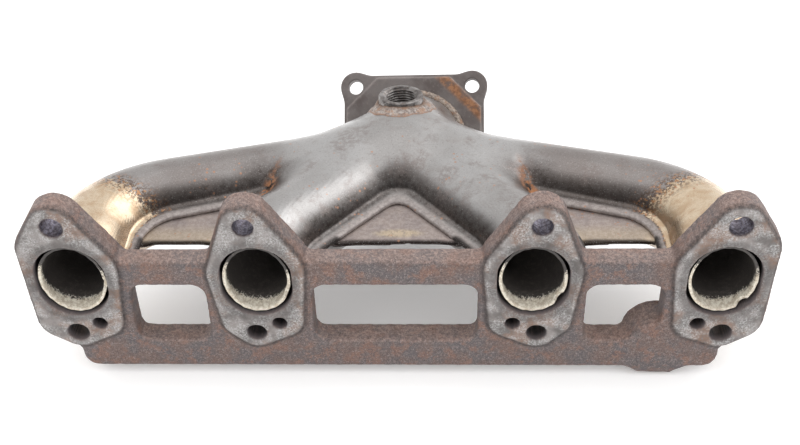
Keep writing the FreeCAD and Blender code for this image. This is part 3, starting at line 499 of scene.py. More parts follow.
def shell_material():
    """Stainless sheet after many heat cycles: grey brown, straw by the outer ports, rusty crotches."""
    m = Material("heat_tinted_sheet")
    straw, crotch, flank_shade, ledge = [m.attribute(k) for k in ("straw", "crotch", "flank_shade", "ledge")]
    broad, patch = m.noise(34, 3, 0.5), m.noise(9, 5, 0.65, warp=0.4)
    fine, grain = m.noise(0.7, 3, 0.7), m.noise(2.4, 4, 0.65)
    outer = m.ramp(m.math("ABSOLUTE", m.axis("X")), 50, 85)
    base = m.mix(m.ramp(broad, 0.35, 0.65), (0.385, 0.37, 0.362), (0.455, 0.445, 0.44))
    base = m.mix(m.math("MULTIPLY", outer, m.ramp(broad, 0.3, 0.7, 0.9, 0.5)), base, (0.25, 0.22, 0.208))
    base = m.mix(m.ramp(patch, 0.52, 0.72, 0, 0.35), base, (0.31, 0.265, 0.245))
    # Painted shade: the lower flanks of the runners, in the valleys between them, are painted near black.
    valley_shade = m.math("MULTIPLY", flank_shade, m.ramp(grain, 0.3, 0.6, 1, 0.75))
    base = m.mix(m.math("MULTIPLY", valley_shade, 0.9), base, (0.072, 0.057, 0.05))
    smear = m.math("MULTIPLY", m.ramp(m.noise(16, 5, 0.6, warp=0.5), 0.50, 0.64), m.ramp(grain, 0.38, 0.55))
    base = m.mix(m.math("MULTIPLY", smear, 0.45), base, (0.23, 0.185, 0.17))
    tan = m.mix(m.ramp(m.noise(12, 3, 0.6), 0.4, 0.62), (0.33, 0.272, 0.258), (0.44, 0.36, 0.325))
    side = m.math("MULTIPLY", outer, m.ramp(m.axis("Y"), 47, 36))
    tan = m.mix(m.math("MULTIPLY", side, 0.7), tan, (0.60, 0.47, 0.30))
    base = m.mix(m.attribute("panel"), base, tan)
    # Painted highlight: a gold streak across the middle web panel near its front edge.
    base = m.mix(m.math("MULTIPLY", m.attribute("panel_glint"), m.ramp(grain, 0.3, 0.5)), base, (0.70, 0.55, 0.34))
    pale = m.mix(m.ramp(grain, 0.40, 0.62), (0.31, 0.265, 0.25), (0.47, 0.415, 0.39))
    base = m.mix(m.math("MULTIPLY", ledge, 0.75), base, pale)
    # Painted shadow: the rolled front edge of the web sheet is painted near black.
    base = m.mix(m.math("MULTIPLY", m.attribute("lip_edge_shade"), 0.95), base, (0.028, 0.022, 0.02))
    ragged = m.math("ADD", straw, m.math("MULTIPLY", m.math("SUBTRACT", grain, 0.5), 0.9))
    gold = m.mix(m.ramp(patch, 0.4, 0.65), (0.72, 0.585, 0.43), (0.58, 0.42, 0.275))
    base = m.mix(m.ramp(ragged, 0.45, 0.55), base, gold)
    fringe = m.math("MULTIPLY", m.ramp(straw, 0.12, 0.42), m.ramp(straw, 0.88, 0.5))
    speck = m.math("MULTIPLY", fringe, m.ramp(m.noise(1.5, 3, 0.75), 0.47, 0.55))
    base = m.mix(m.math("MULTIPLY", speck, 0.85), base, (0.11, 0.07, 0.05))
    speck = m.math("MULTIPLY", fringe, m.ramp(m.noise(2.0, 3, 0.7), 0.55, 0.61))
    base = m.mix(m.math("MULTIPLY", speck, 0.8), base, (0.48, 0.24, 0.11))
    rust = m.math("MULTIPLY", crotch, m.ramp(m.noise(4, 4, 0.7), 0.40, 0.54))
    base = m.mix(rust, base, (0.40, 0.17, 0.07))
    soot = m.math("MULTIPLY", m.attribute("soot"), m.ramp(grain, 0.3, 0.6, 1, 0.6))
    base = m.mix(soot, base, (0.055, 0.042, 0.038))
    dots = m.math("MULTIPLY", m.ramp(m.spots(3.2), 0.26, 0.12), m.ramp(m.noise(20, 3), 0.54, 0.60))
    base = m.mix(m.math("MULTIPLY", dots, 0.75), base, (0.50, 0.26, 0.16))
    sand = m.math("SUBTRACT", 1.0, m.math("MULTIPLY", m.ramp(straw, 0.4, 0.6), 0.7))
    base = m.mix(m.math("MULTIPLY", sand, m.ramp(fine, 0.55, 0.72, 0, 0.35)), base, (0.66, 0.63, 0.61))
    base = m.mix(m.math("MULTIPLY", sand, m.ramp(fine, 0.45, 0.30, 0, 0.45)), base, (0.15, 0.125, 0.115))
    m.bump(grain, 0.12, 0.3)
    m.bump(fine, 0.14, 0.15)
    rough = m.ramp(patch, 0.3, 0.7, 0.27, 0.38)
    rough = m.math("ADD", rough, m.math("MULTIPLY", ledge, 0.22))
    rough = m.math("ADD", rough, m.math("MULTIPLY", rust, 0.35))
    rough = m.math("SUBTRACT", rough, m.math("MULTIPLY", m.ramp(ragged, 0.45, 0.55), 0.07))
    metal = m.math("SUBTRACT", m.ramp(rust, 0.2, 0.9, 0.95, 0.3), m.math("MULTIPLY", ledge, 0.35), clamp=True)
    return m.finish(base, rough, metal)


def plate_material():
    m = Material("scaled_plate")
    local = m.axis("X")
    broad, grain, fine = m.noise(18, 3, 0.6), m.noise(2.5, 4, 0.65), m.noise(0.9, 2, 0.6)
    base = m.mix(m.ramp(broad, 0.35, 0.65), (0.15, 0.125, 0.118), (0.225, 0.20, 0.192))
    base = m.mix(m.ramp(grain, 0.5, 0.7, 0, 0.5), base, (0.27, 0.23, 0.215))
    band = m.attribute("rust_band")
    rust = m.math("MULTIPLY", band, m.ramp(m.noise(5, 4, 0.65), 0.30, 0.52, 0.25, 1))
    base = m.mix(rust, base, m.mix(m.ramp(grain, 0.4, 0.6), (0.27, 0.13, 0.07), (0.42, 0.21, 0.11)))
    edge = m.math("MULTIPLY", m.attribute("edge"), m.ramp(grain, 0.3, 0.6, 0.1, 0.4))
    base = m.mix(edge, base, (0.40, 0.35, 0.33))
    base = m.mix(m.ramp(fine, 0.64, 0.75, 0, 0.3), base, (0.5, 0.44, 0.42))
    m.bump(grain, 0.25, 0.4)
    m.bump(fine, 0.2, 0.2)
    return m.finish(base, m.ramp(local, -60, 60, 0.48, 0.56), 0.55)


def weld_material(name, light, dark, stain, amount):
    m = Material(name)
    broad, grain, fine = m.noise(5, 4, 0.7), m.noise(1.6, 4, 0.7), m.noise(0.7, 3, 0.7)
    base = m.mix(m.ramp(grain, 0.35, 0.65), dark, light)
    base = m.mix(m.ramp(broad, 0.50, 0.64, 0, amount), base, stain)
    base = m.mix(m.math("MULTIPLY", m.attribute("foot"), m.ramp(grain, 0.38, 0.56)), base, (0.33, 0.20, 0.14))
    base = m.mix(m.math("MULTIPLY", m.attribute("hot"), 0.8), base, (0.17, 0.10, 0.065))
    base = m.mix(m.ramp(fine, 0.42, 0.30, 0, 0.6), base, (0.08, 0.06, 0.05))
    m.bump(grain, 0.5, 0.6)
    m.bump(fine, 0.4, 0.3)
    return m.finish(base, m.ramp(fine, 0.3, 0.7, 0.5, 0.75), 0.3)


def liner_material():
    """Liner sheet: pale oxide round the lower lip of the mouth, black soot further in."""
    m = Material("sooted_liner")
    grain, fine = m.noise(1.8, 5, 0.8), m.noise(0.7, 3, 0.7)
    ragged = m.math("ADD", m.attribute("cream"), m.math("MULTIPLY", m.math("SUBTRACT", grain, 0.5), 1.3))
    ragged = m.math("ADD", ragged, m.math("MULTIPLY", m.math("SUBTRACT", fine, 0.5), 1.2))
    pale = m.mix(m.ramp(grain, 0.4, 0.6), (0.56, 0.48, 0.37), (0.85, 0.80, 0.69))
    soot = m.mix(m.ramp(grain, 0.45, 0.7), (0.045, 0.039, 0.036), (0.105, 0.092, 0.082))
    reach = m.ramp(ragged, 0.40, 0.66)
    base = m.mix(reach, soot, pale)
    m.bump(grain, 0.5, 0.5)
    m.bump(fine, 0.3, 0.3)
    return m.finish(base, m.ramp(grain, 0.3, 0.7, 0.4, 0.7), m.math("MULTIPLY", reach, 0.35))


def steel_material(name, dark, light, low=0.3, high=0.5, metal=0.9):
    m = Material(name)
    base = m.mix(m.ramp(m.noise(4, 4, 0.65), 0.35, 0.65), dark, light)
    base = m.mix(m.ramp(m.noise(1.2, 3, 0.7), 0.58, 0.7, 0, 0.5), base, (0.30, 0.17, 0.10))
    m.bump(m.noise(0.9, 3, 0.6), 0.2, 0.2)
    return m.finish(base, m.ramp(m.noise(2.5, 3, 0.6), 0.3, 0.7, low, high), metal)


def wire_material():
    """Knitted wire: crossed fine waves as bump."""
    m = Material("knitted_wire")
    node = m.add("ShaderNodeTexWave", bands_direction="DIAGONAL")
    node.inputs["Scale"].default_value = 0.5
    node.inputs["Distortion"].default_value = 3
    m.link(m.place, node.inputs["Vector"])
    base = m.mix(node.outputs["Fac"], (0.10, 0.09, 0.085), (0.42, 0.40, 0.38))
    m.bump(node.outputs["Fac"], 0.8, 0.5)
    return m.finish(base, m.ramp(m.noise(2), 0.3, 0.7, 0.35, 0.5), 0.9)


# ---- the routes that the shells follow ----

def outer_route(hand):
    x = hand * (STUD_X[1] - PORT_INSET)
    return Route([(x, 8, PORT_Z), (x, OUTER_RUN, PORT_Z), (x, *OUTER_BEND), OUTER_MEETING], OUTER_RADII)


def inner_route(hand):
    x = hand * (STUD_X[0] - PORT_INSET)
    return Route([(x, -8, PORT_Z), (x, INNER_BEND, PORT_Z), INNER_MEETING], [INNER_RADIUS])


OUTLET_TURN = (Matrix.Rotation(math.radians(-OUTLET_YAW), 3, "Z")
               @ Matrix.Rotation(math.radians(-90 - OUTLET_TILT), 3, "X")
               @ Matrix.Rotation(math.radians(-OUTLET_ROLL), 3, "Z"))
OUTLET_AXIS = OUTLET_TURN @ Vector((0, 0, 1))
OUTLET_PLACE = Matrix.Translation(OUTLET) @ OUTLET_TURN.to_4x4()
BUNG_TURN = Matrix.Rotation(math.radians(-BUNG_TILT), 3, "X")
BUNG_PLACE = Matrix.Translation(BUNG) @ BUNG_TURN.to_4x4()
NECK_FOOT = OUTLET - OUTLET_AXIS * PLATE_RISE
NECK_CORNER = OUTLET - OUTLET_AXIS * ((NECK_START[2] - OUTLET.z) / -OUTLET_AXIS.z)

RUNNERS = [outer_route(-1), inner_route(-1), inner_route(1), outer_route(1)]
NECK_ROUTE = Route([NECK_START, NECK_CORNER, NECK_FOOT + OUTLET_AXIS * 10], [NECK_BEND])


def egg(g):
    """Rounded middle of the collector."""
    u, v, w = [(along - centre) / half for along, centre, half in zip((g.x, g.y, g.z), MIDDLE, MIDDLE_HALF)]
    near = np.sqrt(u * u + v * v + w * w)
    slope = np.sqrt(sum((part / half) ** 2 for part, half in zip((u, v, w), MIDDLE_HALF)))
    return near * (near - 1) / np.maximum(slope, 1e-6)


def shell_solid(g):
    """Outside of runners, collector and neck as one flowing solid; also the same with sharp crotches."""
    tubes = [route.distance(g.x, g.y, g.z) - TUBE for route in RUNNERS]
    neck = NECK_ROUTE.distance(g.x, g.y, g.z) - NECK
    body = egg(g)
    sharp = np.minimum(np.minimum.reduce(tubes), np.minimum(neck, body))
    blend = 9 + 20 * step(82, 58, np.abs(g.x))
    left = soft_min(tubes[0], tubes[1], blend)
    right = soft_min(tubes[2], tubes[3], blend)
    runners = soft_min(left, right, 9)
    flowing = soft_min(soft_min(runners, body, 12), neck, 10)
    return flowing, sharp


def beyond_outer(g):
    """How far a point in plan is outside the bend and the straight run of runners 1 and 4."""
    far = None
    for hand in (-1, 1):
        bend = RUNNERS[0].points[2]
        run = (Vector(OUTER_MEETING[:2]) - bend.xy).normalized()
        across = hand * g.x + bend.x
        behind = (hand * g.x + bend.x) * run.y + (g.y - bend.y) * run.x
        side = np.maximum(across, behind)
        far = side if far is None else np.maximum(far, side)
    return far


# ---- shell halves ----

def build_shells(material):
    g = Grid((-180, 9, -46), (180, 152, 26), FINE)
    solid, sharp = shell_solid(g)
    neck_end = (g.x - NECK_FOOT.x) * OUTLET_AXIS.x + (g.y - NECK_FOOT.y) * OUTLET_AXIS.y \
        + (g.z - NECK_FOOT.z) * OUTLET_AXIS.z
    ends = np.maximum(FLANGE - g.y, neck_end)
    hollow = solid + WALL

    plans = [route.flat().distance(g.x, g.y, np.float32(0)) for route in RUNNERS]
    plan = soft_min(soft_min(plans[0], plans[1], 10), soft_min(plans[2], plans[3], 10), 10)
    outside = beyond_outer(g)
    lip = np.maximum(np.maximum(plan - TUBE - LIP, outside), SHEET_START - g.y)
    ripple = 0.5 * np.sin(g.x * 0.11 + 0.6) + 0.3 * np.sin(g.x * 0.31)
    front = WEB_FRONT + ripple
    web = np.maximum(front - g.y, outside)
    inset = np.clip(plan - TUBE - LIP, 0, 12)
    droop = WEB_DROOP * np.exp(-np.maximum(g.y - front, 0) / 2.2)
    rise = WEB_STEP * step(0, 9, inset) - droop

    slope = math.radians(OUTLET_TILT)
    bend_y = OUTLET.y + OUTLET.z / math.tan(slope)
    seam = np.maximum(g.z, (g.y - bend_y) * math.sin(slope) + g.z * math.cos(slope))

    lip_top = soft_max(lip, between(g.z, *LIP_TOP), 1.2)
    rolled = np.sqrt((plan - TUBE - LIP + ROLL) ** 2 + (1.9 * (g.z - 0.1)) ** 2) - ROLL
    rolled = np.maximum(rolled, np.maximum(outside, SHEET_START - g.y))
    upper = soft_min(soft_min(solid, lip_top, 3), rolled, 5)
    upper = soft_max(soft_max(upper, -hollow, 0.5), -seam, 0.5)
    hole = [(g.x - BUNG.x), (g.y - BUNG.y) * math.cos(math.radians(BUNG_TILT))
            - (g.z - BUNG.z) * math.sin(math.radians(BUNG_TILT))]
    bung_hole = np.maximum(np.sqrt(hole[0] ** 2 + hole[1] ** 2) - BUNG_RADIUS - 0.2, -g.z)
    upper = np.maximum(np.maximum(upper, ends), -bung_hole)

    lip_low = soft_max(lip, between(g.z, *LIP_LOW), 0.8)
    sheet = soft_max(web, between(g.z - rise, *WEB_SHEET), 1.0)
    lower = soft_min(soft_min(solid, lip_low, 2.5), sheet, 2.0)
    lower = soft_max(soft_max(lower, -hollow, 0.5), seam, 0.5)
    lower = np.maximum(lower, ends)

    port_side = np.abs(g.x) - (STUD_X[1] - PORT_INSET)
    inner_half = np.minimum(plans[1], plans[2]) < np.minimum(plans[0], plans[3])
    reach = TINT_END - g.y + TINT_SLANT * port_side
    masks = {
        "straw": step(-22, 22, np.where(inner_half, -30, reach)),
        "crotch": np.clip((sharp - solid - 0.9) / 1.2, 0, 1) * step(60, 66, np.abs(g.x) + 0 * g.y)
        * step(95, 75, np.abs(g.x) + 0 * g.y) * step(98, 86, g.y),
        # Lower flanks of the runners in the valleys, where the sheet gets painted shade.
        "flank_shade": step(10.5, 16.5, plan) * step(0, -8, outside) * step(17, 10, g.z) * step(-1, 1, g.z)
        * step(26, 22.5, plan),
        # Band along the front edge of the web sheet that gets painted shadow.
        "lip_edge_shade": step(WEB_FRONT + 2.6, WEB_FRONT + 1.2, g.y) * step(24.5, 26.5, plan) + 0 * g.z,
        "ledge": step(22.0, 25, plan) * step(0, -3, outside) * step(-1, 0.6, g.z) * step(4.5, 3.2, g.z),
        # Spot of painted highlight on the middle web panel.
        "panel_glint": step(1.4, 0.6, np.hypot((g.x - PANEL_GLINT[0]) / 11, (g.y - PANEL_GLINT[1]) / 3)) + 0 * g.z,
        "soot": step(17, 5, disc(np.abs(g.x), g.y, *CROTCH, 0)) * step(-2, 3, g.z) * step(16, 8, g.z),
        "panel": step(TUBE + LIP - 0.4, TUBE + LIP + 0.6, plan) * step(0, -3, outside) * step(1.3, 0.8, g.z),
    }
    masks["flank_shade"] = masks["flank_shade"] * (1 - masks["ledge"])
    masks["straw"] = masks["straw"] * (1 - masks["ledge"]) * (1 - masks["panel"])
    finished(g.mesh("shell_upper", upper, masks), "shell_sheet", material, "upper_shell")
    finished(g.mesh("shell_lower", lower, masks), "shell_sheet", material, "lower_shell")


# ---- casting ----

PAD_LOBES = {
    "outer": [(12.2, -24, 11.5, 12.5), (8, 6, 18.3, 19.3), (0, 32, 11, 11.8), (-4, 16, 16, 17.1),
              (-7.5, -25, 11, 12.5), (0, -31, 10, 11)],
    "inner": [(12.2, -24, 11.5, 12.5), (8, 6, 18.3, 19.3), (0, 32, 11, 11.8), (-4, 4, 16.5, 17.5),
              (-6.5, -25, 10, 11), (0, -31, 10, 11)],
}


def build_casting(material):
    g = Grid((-184, -1.6, -62.4), (184, 22.4, 46), FINE)
    rough = np.full(np.broadcast(g.x, g.z).shape, 1e3, np.float32)
    machined = rough.copy()
    ports, studs = rough.copy(), rough.copy()
    air = rough.copy()
    for hand, which, kind in ((-1, 1, "outer"), (-1, 0, "inner"), (1, 0, "inner"), (1, 1, "outer")):
        x = hand * STUD_X[which]
        lobes = PAD_LOBES[kind]
        face = hull([(x - hand * a, b, r) for a, b, r, _ in lobes])
        body = hull([(x - hand * a, b, r) for a, b, _, r in lobes])
        machined = np.minimum(machined, outline_distance(g.x, g.z, face))
        rough = np.minimum(rough, outline_distance(g.x, g.z, body))
        rise = PORT_HALF[1] - PORT_HALF[0]
        centre = x - hand * PORT_INSET
        tall = np.abs(g.z - PORT_Z) - rise
        ports = np.minimum(ports, np.sqrt((g.x - centre) ** 2 + np.maximum(tall, 0) ** 2) - PORT_HALF[0])
        for z in (-STUD_Z, STUD_Z):
            studs = np.minimum(studs, disc(g.x, g.z, x, z, STUD_RADII[which]))
        air = np.minimum(air, disc(g.x, g.z, x - hand * AIR_INSET, AIR_Z, AIR_RADIUS))

    pads = soft_max(rough, between(g.y, 2, FLANGE), 1.4)
    faces = soft_max(machined, between(g.y, 0, FLANGE - 1), 0.8)
    rail = rounded_box(g.y, g.z, RAIL_FRONT, -42, FLANGE, RAIL_TOP, 2.4)
    rail = np.maximum(rail, np.abs(g.x) - STUD_X[1])
    bar = rounded_box(g.y, g.z, RAIL_FRONT, GALLERY_LOW, GALLERY_BACK, WINDOW_BOTTOM, 3)
    bar = soft_max(bar, rounded_box(g.x, g.z, -GALLERY_HALF, GALLERY_LOW, GALLERY_HALF, 20, 9), 2)
    foot = FOOT_HALF - FOOT_CORNER
    feet = [(BOSS[0] + side, FOOT_Z + FOOT_CORNER, FOOT_CORNER) for side in (-foot, foot)]
    boss = outline_distance(g.x, g.z, hull(feet + [(*BOSS, BOSS_RADIUS)]))
    boss = soft_max(boss, between(g.y, RAIL_FRONT, BOSS_BACK), 2)
    middle = (-MIDDLE_WINDOW, MIDDLE_WINDOW)
    windows = [rounded_box(across, g.z, low, WINDOW_BOTTOM, high, WINDOW_TOP, WINDOW_CORNER)
               for across, (low, high) in ((np.abs(g.x), SIDE_WINDOW), (g.x, middle))]
    body = soft_min(soft_min(pads, rail, 2.5), bar, 2.5)
    body = soft_max(body, -np.minimum(*windows), 1.6)
    body = soft_min(body, boss, 5)
    body = soft_min(body, faces, 0.6)
    wobble = 0.10 * np.sin(g.x * 0.9 + 2 * np.sin(g.z * 0.5)) * np.sin(g.z * 0.8 + 1.5 * np.sin(g.x * 0.37))
    body = body + wobble * step(1.0, 2.2, g.y)
    body = np.maximum(body, -np.minimum(ports, studs))
    body = np.maximum(body, -np.maximum(air, g.y - 11.75))
    gallery_z = (WINDOW_BOTTOM + GALLERY_LOW) / 2
    bore_y = (RAIL_FRONT + GALLERY_BACK) / 2
    body = np.maximum(body, -disc(g.y, g.z, bore_y, gallery_z, GALLERY_BORE))
    socket = np.maximum(disc(g.x, g.z, *BOSS, SOCKET_RADIUS), BOSS_BACK - SOCKET_DEPTH - g.y)
    passage = np.maximum(disc(g.x, g.z, *BOSS, PASSAGE_RADIUS), bore_y - g.y)
    body = np.maximum(body, -np.minimum(socket, passage))

    on_face = step(0.9, 0.35, g.y)
    holes = np.minimum(np.minimum(ports, studs), air)
    masks = {
        "machined": on_face * step(0.6, -0.2, machined),
        # Line round each machined pad that gets painted shadow.
        "pad_edge_shadow": step(1.3, 0.7, np.abs(machined - 0.5)) * step(3.2, 1.0, g.y),
        "bore": step(0.9, 0.2, np.abs(holes)) * step(0.2, 1.2, g.y),
        "port_ring": step(4.8, 2.6, ports) * step(-0.2, 0.4, ports) * on_face,
    }
    flange = g.mesh("casting", body, masks)
    finished(flange, "cast_flange", material, "head_flange")


# ---- outlet plate ----

def build_outlet_plate(material):
    g = Grid((-46, -46, -4), (46, 46, 9.5), FINER, OUTLET_PLACE)
    square = rounded_box(g.x, g.y, -PLATE_HALF, -PLATE_HALF, PLATE_HALF, PLATE_HALF, PLATE_CORNER)
    ears = disc(np.abs(g.x), np.abs(g.y), EAR, EAR, EAR_RADIUS)
    outline = soft_min(square, ears, 3)
    plate = soft_max(outline, between(g.z, 0, PLATE), 0.9)
    corners = (np.abs(g.x) + np.abs(g.y)) / math.sqrt(2) - OCTAGON_CORNER
    octagon = soft_max(np.maximum(np.abs(g.x), np.abs(g.y)) - OCTAGON_HALF, corners, 0.8)
    raised = soft_max(octagon, between(g.z, -PLATE_RISE, 1), 1.0)
    body = soft_min(plate, raised, 0.7)
    body = np.maximum(body, -disc(g.x, g.y, 0, 0, PLATE_BORE))
    body = np.maximum(body, -disc(np.abs(g.x), np.abs(g.y), EAR, EAR, EAR_HOLE))
    masks = {
        "rust_band": step(4.6, 1.5, np.abs((g.x - g.y) / math.sqrt(2) - 40)) * step(0, 12, g.x)
        * step(-0.5, -2, g.z),
        "edge": step(1.6, 0.2, np.abs(octagon)) * step(0, -1.5, g.z),
    }
    finished(g.mesh("outlet_plate", body, masks), "outlet_plate", material, "outlet_flange")


# ---- sensor bung and welds ----

def build_bung(material):
    """Turned ring with a chamfered mouth and an M18 x 1.5 thread."""
    low, high, around = BUNG_LOW, BUNG_HIGH, 96
    profile = [(BUNG_RADIUS, low), (BUNG_RADIUS, high - 1.0), (BUNG_RADIUS - 0.35, high - 0.3),
               (BUNG_RADIUS - 1.0, high), (BUNG_THREAD + 1.5, high), (BUNG_THREAD + 1.1, high - 0.3)]
    levels = np.arange(high - 0.9, low, -0.15)
    rings = []
    for i in range(around):
        turn = 2 * math.pi * i / around
        ring = list(profile)
        for z in levels:
            phase = (z / THREAD_PITCH + i / around) % 1
            ring.append((BUNG_THREAD + THREAD_DEPTH * abs(2 * phase - 1), z))
        rings.append([(r * math.cos(turn), r * math.sin(turn), z) for r, z in ring])
    obj = swept("bung", rings, True, BUNG_PLACE, 35)
    finished(obj, "bung_steel", material, "sensor_bung")


def lumps(g, size, seed):
    """Smooth deterministic unevenness from crossed waves, about -1 to 1."""
    a = np.sin(g.x / size + seed) * np.sin(g.y / size * 1.3 + 2.1 * seed)
    b = np.sin((g.x + g.y) / size * 1.9 + seed * 3) * np.sin((g.z - g.x) / size * 1.6 + seed)
    return 0.6 * a + 0.4 * b


def build_bung_weld(material):
    """Wide rough weld heaped round the bung."""
    g = Grid((-24, 105, -4), (24, 152, 25), FINEST)
    solid, _ = shell_solid(g)
    cos, sin = math.cos(math.radians(BUNG_TILT)), math.sin(math.radians(BUNG_TILT))
    v = (g.y - BUNG.y) * cos - (g.z - BUNG.z) * sin
    w = (g.y - BUNG.y) * sin + (g.z - BUNG.z) * cos
    r = np.sqrt(g.x ** 2 + v ** 2)
    theta = np.arctan2(v, g.x)
    spread = MOUND_SPREAD + 0.8 * np.sin(3 * theta + 0.5)
    spread = spread + 0.5 * np.sin(7 * theta) + 0.3 * np.sin(13 * theta + 1)
    height = MOUND_HEIGHT * np.clip(1 - (r - BUNG_RADIUS) / (spread - BUNG_RADIUS), 0, 1) ** 0.9
    skin = solid - height * 0.55 + 0.45 * lumps(g, 1.5, 0.7) * step(0, 1.5, height)
    mound = soft_max(skin, r - spread, 1.5)
    collar = soft_max(r - BUNG_RADIUS - 1.8 - 0.3 * lumps(g, 1.8, 2), w - 3.2 - 0.5 * lumps(g, 2.2, 5), 1.5)
    mound = soft_min(mound, np.maximum(collar, solid - 6), 2)
    mound = np.maximum(mound, BUNG_RADIUS - 0.1 - r)
    mound = np.maximum(mound, -(solid + 0.5))
    mound = np.maximum(mound, -g.z - 2)
    masks = {"foot": step(1.2, 0.2, np.abs(r - spread + 0.6)) + 0 * g.z,
             "hot": step(BUNG_RADIUS + 3, BUNG_RADIUS + 0.5, r) + 0 * g.z}
    finished(g.mesh("bung_weld_bead", mound, masks), "weld_metal", material, "bung_weld")


def bead(name, points, radius, closed, ripple, material, node):
    """Weld bead swept along points, with a ripple for each drop of weld."""
    count = len(points)
    turns = [2 * math.pi * j / 12 for j in range(12)]
    rings = []
    for i, here in enumerate(points):
        ahead = points[(i + 1) % count] if closed or i + 1 < count else here
        behind = points[i - 1] if closed or i else here
        tangent = (ahead - behind).normalized()
        side = tangent.cross(Vector((0.13, 0.21, 1))).normalized()
        up = side.cross(tangent)
        phase = (i * ripple) % 1
        size = radius * (0.92 + 0.10 * math.sqrt(abs(math.sin(math.pi * phase))) + 0.04 * math.sin(i * 1.7))
        rings.append([here + (side * math.cos(t) + up * math.sin(t)) * size for t in turns])
    finished(swept(name, rings, closed), "weld_metal", material, node)


def circle(place, radius, height, count):
    """Points round a circle, at that height along the Z axis of a placement."""
    turns = [2 * math.pi * k / count for k in range(count)]
    return [place @ Vector((radius * math.cos(t), radius * math.sin(t), height)) for t in turns]


def build_beads(material):
    upright = Matrix.Rotation(math.pi / 2, 4, "X")
    for i, route in enumerate(RUNNERS, start=1):
        place = Matrix.Translation((route.points[0].x, FLANGE, PORT_Z)) @ upright
        ring = circle(place, TUBE + 0.9, -0.9, 200)
        bead(f"port_weld_bead_{i}", ring, PORT_BEAD, True, 0.17, material, f"port_weld_{i}")
    ring = circle(OUTLET_PLACE, NECK + 1.0, -PLATE_RISE - 0.9, 260)
    bead("outlet_weld_bead", ring, OUTLET_BEAD, True, 0.17, material, "outlet_weld")
    for node in ("seam_weld_left", "seam_weld_right"):
        low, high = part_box(node)
        hand = 1 if low.x + high.x > 0 else -1
        a = Vector((hand * max(abs(low.x), abs(high.x)), low.y, 0)) / MM
        b = Vector((hand * min(abs(low.x), abs(high.x)), high.y, 0)) / MM
        run = b - a
        points = [a + run * (0.02 + 0.96 * k / 180) for k in range(181)]
        bead(f"{node}_bead", points, SEAM_BEAD, False, 0.15, material, node)


# ---- liners ----

LINER, LINER_WALL, MOUTH, MOUTH_FRONT = 16.5, 1.2, (15.25, 18.75), 2
LIP_FLARE, LIP_TEAR = 0.75, 2.2
LINER_REACH = (55, 105)
CREAM_ANGLES = (-180, -150, -90, -40, 0, 30, 60, 110, 140, 180)
CREAM_DEPTHS = (3.0, 4.8, 6.2, 5.4, 2.2, -2.5, -7, -7, -1.5, 3.0)


def build_liner(number, route, reach, material):
    """Thin tube along a runner, with an oval mouth flared towards the port and an uneven lip."""
    x = route.points[0].x
    bend = route.points[-2]
    heading = (route.points[-1] - bend).normalized()
    corners = [Vector((x, FLANGE, PORT_Z))] + route.points[1:-1] + [bend + heading * reach]
    radii = [piece.radius for piece in route.pieces if isinstance(piece, Arc)]
    path = [Vector((x, MOUTH_FRONT + depth, PORT_Z)) for depth in (0, 0.3, 0.8, 1.6, 2.8, 4.5, 6.5, 8.8)]
    path += Route(corners, radii).samples(3)
    angles = [2 * math.pi * k / 96 for k in range(96)]
    walls, masks = ([], []), ([], [])
    for i, here in enumerate(path):
        ahead, behind = path[min(i + 1, len(path) - 1)], path[max(i - 1, 0)]
        side = (ahead - behind).cross(Vector((0, 0, 1))).normalized()
        up = side.cross(ahead - behind).normalized()
        depth = here.y - MOUTH_FRONT
        in_port = here.y < FLANGE
        share = float(step(0, FLANGE - MOUTH_FRONT, depth)) if in_port else 1.0
        flare = LIP_FLARE * math.exp(-max(depth, 0) / 1.3) if in_port else 0.0
        for wall, mask, inset in zip(walls, masks, (0, LINER_WALL)):
            ring, values = [], []
            for turn in angles:
                degrees = math.degrees(math.atan2(math.sin(turn), math.cos(turn)))
                wide = MOUTH[0] + (LINER - MOUTH[0]) * share + flare - inset
                tall = MOUTH[1] + (LINER - MOUTH[1]) * share + flare - inset
                point = here + side * (wide * math.cos(turn)) + up * (tall * math.sin(turn))
                ragged = 0.12 * math.sin(5 * turn + number) + 0.15 * math.sin(19 * turn + 3 * number)
                tear = LIP_TEAR * math.exp(-((degrees + 12 * number) / 9) ** 4)
                point.y += (ragged + tear + 0.5) * math.exp(-max(depth, 0) / 2.0) if in_port else 0
                limit = float(np.interp(degrees, CREAM_ANGLES, CREAM_DEPTHS))
                ring.append(point)
                values.append(0.5 + (limit - depth) / 6 if here.y < FLANGE + 3 else -1.0)
            wall.append(ring)
            mask.append(values)
    rings = walls[0] + walls[1][::-1]
    cream = masks[0] + masks[1][::-1]
    obj = swept(f"liner_{number}", rings, True, crease=50, mask=("cream", cream))
    finished(obj, "liner_sheet", material, f"runner_liner_{number}")


# ---- build everything ----

SHELL = shell_material()
CASTING = casting_material()
LINER_LOOK = liner_material()
BEAD = weld_material("weld_oxide", (0.44, 0.37, 0.31), (0.20, 0.155, 0.135), (0.32, 0.16, 0.085), 0.6)
MOUND = weld_material("weld_cream", (0.46, 0.41, 0.375), (0.19, 0.15, 0.135), (0.33, 0.17, 0.09), 0.6)
build_shells(SHELL)
build_casting(CASTING)
build_outlet_plate(plate_material())
build_bung(steel_material("turned_steel", (0.13, 0.115, 0.11), (0.36, 0.34, 0.33)))
build_bung_weld(MOUND)
build_beads(BEAD)
for number, runner in enumerate(RUNNERS, start=1):
    build_liner(number, runner, LINER_REACH[number in (1, 4)], LINER_LOOK)

